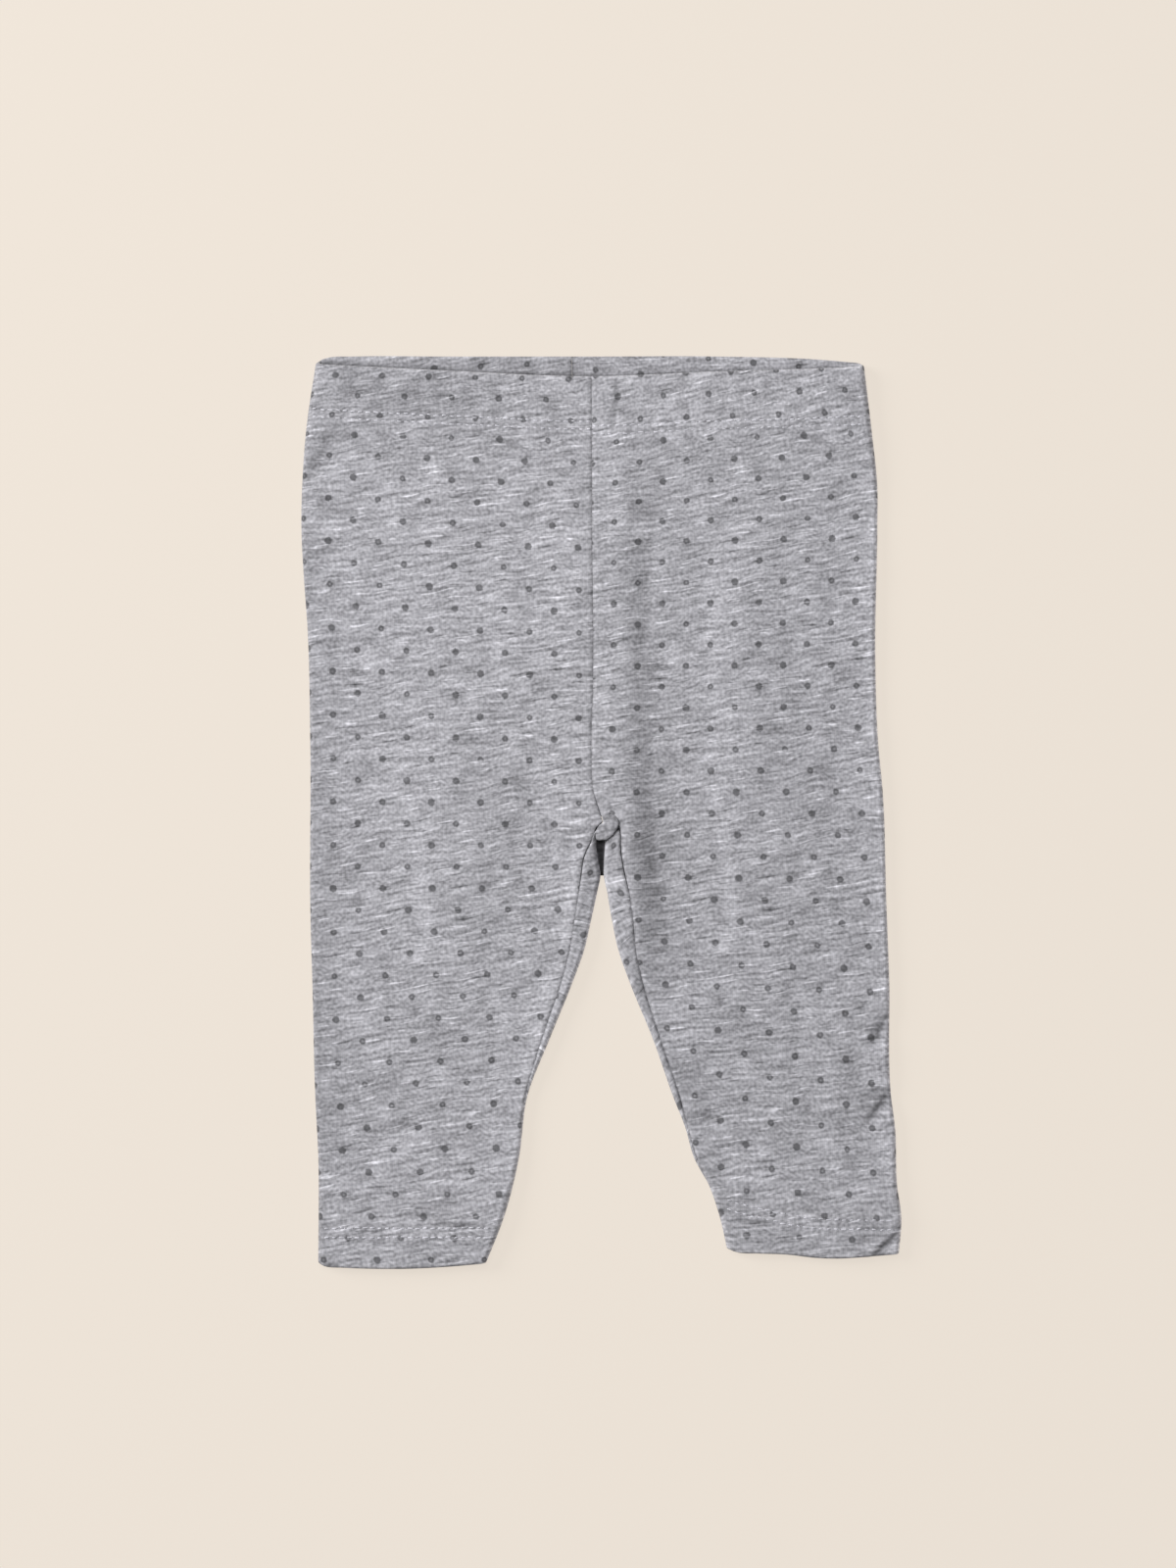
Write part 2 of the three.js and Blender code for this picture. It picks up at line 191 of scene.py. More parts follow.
leftLeg = {
    "name": "left", "side": 1,
    "outerFold": smoothTable(["y", "x"], [
        [-176, 117.6], [-160, 118.6], [-148, 117.0], [-125, 116.2], [-113, 114.7],
        [-67, 113.9], [-34, 112.7], [8, 111.3], [26, 109.6], [60, 108.4],
        [114, 109.2], [131, 109.2], [154, 106.9], [180, 103.8],
    ]),
    "innerEdge": smoothTable(["y", "inseam", "fold"], [
        [-176, 49.6, 50.2],
        [-160, 46.2, 46.6],
        [-148, 42.2, 42.5],
        [-137, 37.8, 36.7],
        [-125, 34.2, 33.2],
        [-113, 31.2, 28.5],
        [-90, 23.4, 20.4],
        [-67, 16.3, 11.0],
        [-55, 13.7, 6.8],
        [-43, 12.6, 4.2],
        [-34, 11.3, 2.6],
    ]),
    "hemEdge": smoothTable(["x", "stitch", "edge"], [
        [50, -156.0, -173.0],
        [54, -157.2, -174.2],
        [62, -159.2, -174.6],
        [75, -162.0, -175.2],
        [83, -163.2, -176.2],
        [93, -163.7, -176.6],
        [104, -163.9, -176.0],
        [118, -163.9, -175.0],
    ]),
    "dotsAt": 62.3,
    "dots": smoothTable(["level", "row", "rise", "dot", "spacing"], [
        [-184.6, 35, -0.040, 68.0, 20.8],
        [-167.5, 33, -0.040, 67.8, 20.8],
        [-150.0, 31, -0.035, 67.5, 20.2],
        [-113.8, 27, -0.059, 66.9, 20.0],
        [-78.5, 23, -0.041, 66.1, 20.2],
        [-26.5, 17, -0.010, 64.4, 20.0],
        [16.1, 12, 0.005, 63.0, 19.6],
        [66.0, 6, 0.008, 62.2, 19.1],
        [115.5, 0, 0.021, 62.4, 19.1],
        [147.8, -4, 0.035, 61.5, 18.5],
        [165.3, -6, 0.030, 60.3, 17.9],
        [191.0, -9, 0.030, 60.3, 17.9],
    ]),
    "waistRows": (-2.2, 0.9),
    "hemRows": (2.5, -1.1),
    "stripShift": (0.1, -0.5),
    "insideShift": (0.0, 0.05), "insideRise": (-0.12, 15.3),
    "crotch": rowsOf(crotchColumns, [
        [-1.0, 1.2, 1.5, 0.3, 1.5, 0.3, 1.5, 0, 9],
        [0.1, -1.8, -1.5, 0.5, -0.8, 0.5, -0.8, 0, 6],
        [0.6, -3.2, -3.5, 0.7, -3.2, 0.7, -3.2, 0.35, 3],
        [1.2, -4.2, -5.5, 0.8, -5.4, 0.8, -5.4, 0.65, 1.5],
        [4.6, -5.0, -8.0, 1.2, -7.8, 4.2, -6.8, 1, 0],
        [7.2, -6.4, -11.0, 1.7, -10.2, 6.8, -7.4, 1, 0],
        [7.8, -9.6, -14.5, 1.6, -12.6, 7.4, -9.9, 1, 0],
        [7.8, -13.6, -18.0, 1.3, -15.6, 7.4, -13.8, 1, 0],
        [8.3, -18.4, -22.0, 1.1, -19.8, 7.9, -18.6, 1, 0],
        [9.5, -24.8, -27.0, 1.0, -25.6, 9.1, -24.9, 1, 0],
    ]),
}

# Folds of the upper layer along a line: soft ridges (height above 0) and troughs (below 0)
folds = rowsOf(["x1", "y1", "x2", "y2", "width", "height"], [
    [-3.6, 140, -3.4, 30, 13, 1.5],
    [-3.0, 26, 0, 2, 9, 0.5],
    [11, -24, 16, -66, 7, 0.8],
    [-9, -22, -14, -62, 6, 0.6],
    [26, 130, 22, 60, 8, -0.5],
    [25, 20, 26, -50, 9, -0.6],
    [-118, 131, -94, 158, 5, -1.0],
    [-106, 124, -92, 140, 6, 0.6],
    [-26.5, 16, -26.5, -36, 6, -0.7],
    [-60, 60, -52, -70, 18, 0.9],
    [-84, 20, -78, -110, 10, -0.5],
    [64, 90, 68, -60, 18, 1.0],
    [80, -96, 82, -136, 7, -0.7],
    [96, -60, 90, -130, 8, 0.7],
    [114, -82, 108, -92, 4, -1.1],
    [115, -108, 104, -122, 4.5, -1.1],
    [57, -160, 70, -150, 8, -0.8],
    [-72, -130, -58, -156, 9, 0.7],
])

# Small creases that the CAD part leaves out, in the same columns
creases = rowsOf(["x1", "y1", "x2", "y2", "width", "height"], [
    [-11, -3.0, -1.5, -3.2, 1.3, -0.5],
    [-12, -6.2, -3, -5.6, 1.2, 0.3],
    [-12, -9.4, -4, -8.8, 1.2, -0.45],
    [-14, -16.2, -6.5, -15.6, 1.4, -0.45],
    [10, -4, 22, -6, 2.0, -0.35],
    [10, -12, 20, -16, 1.8, -0.35],
    [-7, 22, -13, 21, 1.6, -0.15],
    [2, 30, 8, 31, 1.8, -0.15],
    [112.6, -80.5, 106.6, -92.2, 1.5, -0.7],
    [114.2, -109.6, 103.6, -123.8, 1.6, -0.7],
    [115.4, -88, 111.5, -95, 2.2, 0.35],
    [116, -118, 109, -126, 2.6, 0.4],
    [-116, 136, -97, 155, 1.6, -0.25],
    [8, 178, 9, -24, 8, 1.1],
    [32, 180, 33, -22, 10, -1.3],
    [-15, 140, -13, 14, 9, 0.9],
    [13, 18, 15, -64, 8, 1.3],
    [35, 22, 38, -68, 10, -1.4],
    [-7, -18, -12, -54, 4, 0.7],
    [52, 118, 56, 40, 14, 0.5],
    [-117, 128, -97, 160, 3.2, -0.7],
    [-112, 166, -106, 140, 6, 0.6],
])

# Painted shadows, deeper than the light gives, in creases and under edges, and broad painted shade
# over some areas. The last column is the share of light lost in the middle of each line; a row below
# 0 paints light instead.
shadowLines = rowsOf(["x1", "y1", "x2", "y2", "width", "height"], [
    [7.4, -4.0, 5.5, -8.3, 0.8, 0.75],
    [5.6, -8.1, 1.9, -11.7, 0.8, 0.8],
    [-0.4, -5.0, -2.3, -9.2, 0.45, 0.4],
    [-2.4, -9.0, -2.4, -11.4, 0.5, 0.5],
    [1.0, -2.7, 1.8, -2.7, 0.7, 0.35],
    [5.9, -3.4, 6.6, -3.6, 0.8, 0.35],
    [-11.9, 173.2, -11.8, 170.4, 1.1, 0.6],
    [113.2, -79.6, 106.6, -92.4, 1.3, 0.62],
    [114.8, -82.5, 111.4, -91.0, 2.4, 0.22],
    [114.8, -108.8, 103.5, -124.0, 1.3, 0.64],
    [115.8, -111.5, 108.9, -121.5, 3.0, 0.24],
    [-118.5, 130, -104, 153, 2.4, 0.28],
    [-124, 170, -30, 158, 13, 0.22],
    [-118, 150, -78, 148, 9, 0.08],
    [118.5, -163.9, 107.2, -174.8, 0.8, 0.32],
    [15, 36, 19, -14, 7.5, 0.16],
    [21, 0, 24, -58, 7.5, 0.16],
    [-80, -60, -80, -190, 30, 0.045],
    [-1.6, -11, -5.5, -30, 2.4, 0.28],
    [0.9, -2.0, 5.6, -1.2, 0.7, 0.25],
    [5.6, 172.5, 6.1, 156.5, 1.2, 0.52],
    [-98.7, 172, -98.9, 164, 1.2, 0.22],
    [-72.3, 171, -72, 162, 1.2, 0.20],
    [13.5, 170, 13, 160, 1.2, 0.14],
    [48.9, 172, 49.2, 163, 1.2, 0.18],
    [65.4, 172, 65.2, 162, 1.2, 0.16],
    [-110, 163, -20, 160, 9, 0.022],
    [-15, 150, -13, 20, 8, 0.025],
    [62, -167, 112, -169, 13, -0.028],
])


def foldHeight(table, x, y):
    total = np.zeros(np.broadcast(x, y).shape)
    for fold in table:
        dx, dy = fold["x2"] - fold["x1"], fold["y2"] - fold["y1"]
        part = ((x - fold["x1"]) * dx + (y - fold["y1"]) * dy) / (dx * dx + dy * dy)
        part = np.clip(part, 0, 1)
        away = np.hypot(x - fold["x1"] - part * dx, y - fold["y1"] - part * dy)
        taper = 0.35 + 0.65 * np.sin(math.pi * part)
        total = total + fold["height"] * taper * gauss(away, fold["width"])
    return total


# Gentle unevenness: waves of about one length in many directions
def billow(x, y, seed, length, count=9):
    random = np.random.default_rng(seed)
    total = np.zeros(np.broadcast(x, y).shape)
    for _ in range(count):
        turn, phase = random.uniform(0, 2 * math.pi, 2)
        pace = 2 * math.pi / (length * random.uniform(0.7, 1.5))
        total = total + np.sin((x * math.cos(turn) + y * math.sin(turn)) * pace + phase)
    return total / math.sqrt(count / 2)


def hemShift(leg, x, y):
    fade = 1 - smoothStep(y, cloth["hemLevel"], cloth["hemLevel"] + cloth["hemSlopeReach"])
    return (leg["hemEdge"](x)["stitch"] - cloth["hemLevel"]) * fade


# The level in the part of a point that lies at y in a leg with straight edges
def levelOf(leg, x, y, onTop):
    x, y, onTop = np.broadcast_arrays(np.asarray(x, float), np.asarray(y, float), onTop)
    edge = waistEdge(x)
    sag = lerp(edge["back"], edge["front"], onTop) - cloth["waistLevel"]
    sag = sag * smoothStep(y, cloth["sagEnd"], cloth["waistLevel"] - cloth["casingDepth"])
    upper = y + sag + hemShift(leg, x, y)
    hem = leg["hemEdge"](x)
    depth = np.clip((cloth["hemLevel"] - y) / cloth["hemDepth"], 0, 1)
    return np.where(y < cloth["hemLevel"], lerp(hem["stitch"], hem["edge"], depth), upper)


waistDetail = {
    "ripples": rowsOf(["x", "width", "height"], [  # left by the elastic, in the casing only
        [-98.7, 2.2, -0.35], [-72, 2.0, -0.40], [-44, 2.4, 0.30], [-20, 2.2, -0.20],
        [5.6, 0.9, -0.60], [7.6, 1.6, 0.25], [13, 1.8, -0.30], [31, 2.6, 0.25],
        [48.9, 1.9, -0.35], [65.4, 2.0, -0.35], [84, 2.4, 0.25], [-114, 3.0, 0.2],
    ]),
}
hemDetail = {
    "cornerLine": (118.5, -163.9, 107.2, -174.8),  # front layer's corner rolled away there
    "cornerDrop": 0.9, "cornerLight": 0.16,
}


def topHeight(leg, x, y):
    loft = cloth["foldLoft"] * gauss(x - leg["outerFold"](y)["x"], cloth["foldReach"])
    below = 1 - smoothStep(y, *cloth["innerLoft"])
    loft = loft + cloth["foldLoft"] * below * gauss(x - leg["innerEdge"](y)["fold"],
                                                    cloth["foldReach"])
    away = np.hypot(x, y - cloth["crotchMiddle"])
    loft = loft + cloth["crotchLift"] * gauss(away, cloth["crotchReach"])
    uneven = 0.16 * billow(x, y, 3, 46) + 0.07 * billow(x, y, 5, 17) + 0.03 * billow(x, y, 7, 7)
    relief = foldHeight(folds, x, y) + foldHeight(creases, x, y) + uneven
    nearSeam = gauss(x - centreSeams(y)["front"], 6) * smoothStep(y, -4, 6)
    relief = relief + 0.10 * nearSeam * np.sin(y * 0.95 + 1.6 * np.sin(y * 0.21))
    openCloth = np.maximum(cloth["least"], cloth["rest"] + loft + relief)

    sag = waistEdge(x)["front"] - cloth["waistLevel"]
    stitchLine = cloth["waistLevel"] - cloth["casingDepth"] + sag
    fromWaist = np.maximum(0, cloth["waistLevel"] - cloth["casingDepth"]
                           - cloth["casingShoulder"] - y)
    fromHem = np.maximum(0, y - cloth["hemLevel"] - cloth["hemShoulder"])
    share = np.maximum(gauss(fromWaist, cloth["bandReach"]), gauss(fromHem, cloth["bandReach"]))
    band = cloth["bandHeight"] + 0.10 * billow(x, y, 11, 24) + 0.05 * billow(x, y, 12, 8)
    inCasing = smoothStep(y, stitchLine - 4, stitchLine + 3)
    for ripple in waistDetail["ripples"]:
        along = 0.55 + 0.45 * np.sin(ripple["x"] * 1.7 + y * 0.12)
        band = band + ripple["height"] * along * inCasing * gauss(x - ripple["x"],
                                                                  ripple["width"])
    hemMiddle = leg["hemEdge"](x)["stitch"] + sum(leg["hemRows"]) / 2
    for middle in (stitchLine + sum(leg["waistRows"]) / 2, hemMiddle):
        pucker = 0.09 * np.sin(x * 2.05 + 2 * np.sin(x * 0.31))
        pucker = pucker + 0.07 * np.sin(x * 0.83 + 1.3 * np.sin(x * 0.17))
        band = band + pucker * gauss(y - middle, 4.2)
        for row in (-1.6, 1.6):
            band = band - 0.20 * gauss(y - middle - row, 0.7)
    height = lerp(openCloth, band, share)
    if leg["side"] > 0:
        x1, y1, x2, y2 = hemDetail["cornerLine"]
        outside = ((x - x1) * (y2 - y1) - (y - y1) * (x2 - x1)) / math.hypot(x2 - x1, y2 - y1)
        height = height - hemDetail["cornerDrop"] * smoothStep(-outside, -0.4, 1.1)
    return height


def heightAt(leg, x, y):
    return topHeight(leg, x, levelOf(leg, x, y, 1.0))


# Where a ring leaves the flat to roll round a fold whose edge is given, and the roll's radius
def rollStart(leg, edge, aim):
    radius = 0.0
    for _ in range(4):
        start = edge - aim * radius
        radius = float(heightAt(leg, start[0], start[1])) / 2
    return start, radius


def spread(count, fine):
    part = np.arange(count) / count
    return part + fine * (part**3 - part) * 0.5  # closer together near 0


# One ring round a leg, from the seam on top over the outer fold, the back and the inner fold to the
# seam again. share is the height of a point in the two layers, from 0 on the floor to 1 on top, and
# in* is the way into the cloth. flatX and flatY are its place in the cloth laid out flat.
def ring(leg, row):
    side = leg["side"]
    outward, inward = np.array([side, 0.0]), np.array([-side, 0.0])
    outer, outerRadius = rollStart(leg, np.array([row["outerX"], row["outerY"]]), outward)
    innerEdge = np.array([row["innerX"], row["innerY"]])
    full = row["turn"] > 0
    inner, innerRadius = rollStart(leg, innerEdge, inward) if full else (innerEdge, 0.0)

    startAngle = row.get("startAngle", math.pi)
    rolled = innerRadius * (math.pi - startAngle)
    topX = inner[0] if startAngle < math.pi else row["frontX"]
    part = spread(grid["front"], 0.5)
    length = rolled + abs(outer[0] - topX)
    s = part * length
    onRoll = s < rolled
    angle = startAngle + np.where(onRoll, s, 0) / max(innerRadius, 1e-6)
    y = lerp(row["frontY"], row["outerY"], np.minimum(1, part * 2.2))
    flatX = topX + side * (s - rolled)
    front = {
        "x": np.where(onRoll, inner[0] - side * innerRadius * np.sin(angle), flatX),
        "y": y,
        "sampleX": np.where(onRoll, inner[0], flatX), "sampleY": y,
        "share": np.where(onRoll, (1 - np.cos(angle)) / 2, 1),
        "inX": np.where(onRoll, side * np.sin(angle), 0), "inZ": np.where(onRoll, np.cos(angle), -1),
        "flatX": flatX, "flatY": y, "seam": s, "strip": np.zeros(len(s)),
    }

    angle = math.pi * (1 - np.arange(grid["outerRoll"]) / grid["outerRoll"])
    y = np.full(len(angle), row["outerY"])
    roll = {
        "x": outer[0] + side * outerRadius * np.sin(angle), "y": y,
        "sampleX": np.full(len(angle), outer[0]), "sampleY": y,
        "share": (1 - np.cos(angle)) / 2,
        "inX": -side * np.sin(angle), "inZ": np.cos(angle),
        "flatX": outer[0] + side * outerRadius * (math.pi - angle), "flatY": y,
        "seam": np.full(len(angle), 99.0), "strip": np.zeros(len(angle)),
    }

    tailX = inner[0] + side * row["run"]
    part = np.arange(grid["back"]) / grid["back"]
    x = lerp(outer[0], tailX, part)
    y = lerp(row["outerY"], row["innerY"], np.maximum(0, part * 2 - 1))
    turned = outer[0] + side * outerRadius * math.pi  # flat place of the back's outer end
    zero = np.zeros(len(part))
    back = {
        "x": x, "y": y, "sampleX": x, "sampleY": y, "share": zero,
        "inX": zero, "inZ": zero + 1,
        "flatX": turned + side * np.abs(x - outer[0]), "flatY": y,
        "seam": zero + 99.0, "strip": zero,
    }

    most = startAngle if startAngle < math.pi else math.pi * row["turn"]
    arc = innerRadius * most
    end = np.array([row["endX"], row["endY"]])
    strip = float(np.hypot(*(end - inner))) if most >= math.pi else 0.0
    way = (end - inner) / max(strip, 1e-6)
    total = row["run"] + arc + strip
    a = total * np.linspace(0, 1, grid["tail"] + 1)
    flat = a < row["run"]
    onTop = a > row["run"] + arc
    gone = np.clip(a - row["run"], 0, arc)
    angle = gone / max(innerRadius, 1e-6)
    past = np.clip(a - row["run"] - arc, 0, strip)
    x = np.where(flat, tailX - side * a, inner[0] - side * innerRadius * np.sin(angle))
    x = np.where(onTop, inner[0] + way[0] * past, x)
    y = np.where(onTop, inner[1] + way[1] * past, inner[1])
    lean = math.atan(-side * row.get("lean", 0.0))
    beyond = a - row["run"] - innerRadius * math.pi / 2
    folded = np.maximum(beyond, 0)
    reach = abs(inner[0] - outer[0]) + innerRadius * math.pi / 2 + np.minimum(beyond, 0)
    reach = reach + folded * math.cos(2 * lean)
    tail = {
        "x": x, "y": y,
        "sampleX": np.where(onTop, x, inner[0]), "sampleY": y,
        "share": np.where(flat, 0, np.where(onTop, 1, (1 - np.cos(angle)) / 2)),
        "inX": np.where(flat | onTop, 0, side * np.sin(angle)),
        "inZ": np.where(onTop, -1, np.cos(angle)),
        "flatX": turned + side * reach, "flatY": y - folded * math.sin(2 * lean),
        "seam": total - a, "strip": smoothStep(beyond, -0.2, 0.2),
    }
    return {key: np.concatenate([stretch[key] for stretch in (front, roll, back, tail)])
            for key in front}


def levelRow(leg, y):
    side = leg["side"]
    halfGap = side * cloth["seamGap"] / 2
    outerLevel = levelOf(leg, leg["outerFold"](y)["x"], y, 0.5) if y < 0 else y
    row = {"frontY": y, "outerX": float(leg["outerFold"](outerLevel)["x"]), "outerY": y,
           "innerY": y, "endY": y, "run": 12 if y > 0 else 0}
    if y > 0:
        seams = centreSeams(y)
        back = float(seams["back"]) + halfGap
        return {**row, "frontX": float(seams["front"]) + halfGap, "innerX": back, "endX": back,
                "turn": 0}
    innerLevel = float(levelOf(leg, leg["innerEdge"](y)["fold"], y, 0.5))
    edge = leg["innerEdge"](innerLevel)
    inseam, fold = float(edge["inseam"]), float(edge["fold"])
    lean = float(leg["innerEdge"](innerLevel + 2)["fold"] - leg["innerEdge"](innerLevel - 2)["fold"])
    radius = rollStart(leg, np.array([fold, y]), np.array([-side, 0.0]))[1]
    across = (inseam - fold) * side
    row.update(innerX=fold, turn=1, lean=lean / 4, frontX=inseam + halfGap, endX=inseam - halfGap)
    if across < radius:  # the seam lies on the roll itself
        row["startAngle"] = math.pi - math.asin(min(1, max(-0.2, 1 - across / radius)))
    return row


# All rings of a leg, from the waist edge to the hem edge, as one table of columns
def ringsOf(leg):
    waist, casing = cloth["waistLevel"], cloth["waistLevel"] - cloth["casingDepth"]
    hem, hemEnd = cloth["hemLevel"], cloth["hemLevel"] - cloth["hemDepth"]
    steps = lambda a, b, step: np.linspace(a, b, int(round(abs(a - b) / step)) + 1)
    edgeSteps = np.array([0, 0.12, 0.35, 0.7])
    levels = {
        "waistband": [*(waist - edgeSteps), *steps(waist - 1.1, casing, grid["bandStep"])],
        "upper": steps(casing, cloth["crotchStart"], grid["rowStep"]),
        "lower": steps(cloth["crotchEnd"], hem, grid["rowStep"]),
        "hem": [*steps(hem, hemEnd + 1.1, grid["bandStep"]), *(hemEnd + edgeSteps[::-1])],
    }
    upper = [ring(leg, levelRow(leg, y)) for y in levels["upper"]]
    lower = [ring(leg, levelRow(leg, y)) for y in levels["lower"]]
    keyRows = [{**row, "outerX": float(leg["outerFold"](row["outerY"])["x"]), "lean": -0.1}
               for row in leg["crotch"]]
    keys = [upper[-1], *(ring(leg, row) for row in keyRows), lower[0]]
    between = grid["betweenCrotchRows"]
    at = np.arange(1, (len(keys) - 1) * between) / between
    index = np.arange(len(keys))
    crotch = [{} for _ in at]
    for key in keys[0]:
        values = np.array([k[key] for k in keys])
        slopes = np.gradient(values, index, axis=0)
        for made, place in zip(crotch, at):
            i = min(int(place), len(keys) - 2)
            t = place - i
            made[key] = ((2 * t**3 - 3 * t**2 + 1) * values[i] + (3 * t**2 - 2 * t**3) * values[i + 1]
                         + (t**3 - 2 * t**2 + t) * slopes[i] + (t**3 - t**2) * slopes[i + 1])
    return {
        "waistband": [ring(leg, levelRow(leg, y)) for y in levels["waistband"]],
        "leg": upper + crotch + lower,
        "hem": [ring(leg, levelRow(leg, y)) for y in levels["hem"]],
    }


def clothPlace(leg, flatX, flatY):
    level = flatY
    for _ in range(3):
        found = leg["dots"](level)
        level = flatY - found["rise"] * (flatX - leg["dotsAt"])
    found = leg["dots"](level)
    return (flatX - found["dot"]) / found["spacing"], found["row"]


print("tables ready")


# A closed shell around a grid of outer and inner points. border is 1 or 2 on a point at the edge of
# the outer or the inner face, where the shading breaks.
def shellAround(outer, inner, flip):
    rows, columns = outer.shape[:2]
    count = rows * columns
    at = np.arange(count).reshape(rows, columns)
    a, b, c, d = at[:-1, :-1], at[:-1, 1:], at[1:, 1:], at[1:, :-1]
    upper = np.stack([a, b, c, d], -1).reshape(-1, 4)
    lower = upper[:, ::-1] + count
    around = np.concatenate([at[0, :-1], at[:-1, -1], at[-1, :0:-1], at[:0:-1, 0]])
    ahead = np.roll(around, -1)
    rim = np.stack([ahead, around, around + count, ahead + count], -1)
    faces = np.concatenate([upper, lower, rim])
    if flip:
        faces = faces[:, ::-1]
    points = np.concatenate([outer.reshape(-1, 3), inner.reshape(-1, 3)])
    border = np.zeros(len(points), int)
    border[around], border[around + count] = 1, 2
    return points, faces, border


def meshFrom(name, shells, material):
    points = np.concatenate([shell["points"] for shell in shells])
    starts = np.cumsum([0] + [len(shell["points"]) for shell in shells])
    faces = np.concatenate([shell["faces"] + start for shell, start in zip(shells, starts)])
    flat = np.concatenate([shell["flat"] for shell in shells])
    shade = np.concatenate([shell["shade"] for shell in shells])
    border = np.concatenate([shell["border"] for shell in shells])
    mesh = bpy.data.meshes.new(name)
    mesh.vertices.add(len(points))
    mesh.vertices.foreach_set("co", (points * metre).astype(np.float32).ravel())
    mesh.loops.add(faces.size)
    mesh.loops.foreach_set("vertex_index", faces.astype(np.int32).ravel())
    mesh.polygons.add(len(faces))
    mesh.polygons.foreach_set("loop_start", np.arange(0, faces.size, 4, dtype=np.int32))
    mesh.update(calc_edges=True)
    mesh.polygons.foreach_set("use_smooth", np.ones(len(faces), bool))
    layer = mesh.uv_layers.new(name="flatCut")
    layer.data.foreach_set("uv", (flat[faces.ravel()] * metre).astype(np.float32).ravel())
    values = mesh.attributes.new("shade", "FLOAT", "POINT")
    values.data.foreach_set("value", shade.astype(np.float32))
    mesh.validate()
    ends = np.empty(len(mesh.edges) * 2, np.int32)
    mesh.edges.foreach_get("vertices", ends)
    first, second = border[ends[::2]], border[ends[1::2]]
    breaks = mesh.attributes.new("sharp_edge", "BOOLEAN", "EDGE")
    breaks.data.foreach_set("value", (first == second) & (first > 0))
    mesh.materials.append(material)
    piece = bpy.data.objects.new(name, mesh)
    bpy.context.scene.collection.objects.link(piece)
    return piece


seamLook = {
    "groove": 0.28, "width": 0.5,  # how far the cloth's edge dips into a seam
    # The thread and shadow in it, as a share of the light lost
    "inseamLine": 0.40, "centreLine": 0.30, "lineWidth": 0.5,
    # Painted light and shade at the folds: how far it reaches, the narrow painted highlight at the
    # edge, and its strength on the sides away from and towards the lamp
    "fluff": 2.4, "fringe": 0.7,
    "inShadow": 0.5, "inShadowFringe": 1.0, "inLight": {"outer": -0.38, "inner": -0.15},
    "backLine": 0.45,  # the thread and shadow of the centre back seam inside the casing
    "coverstitched": (150.3, 156.6),  # rows of stitches cross the centre front here
}


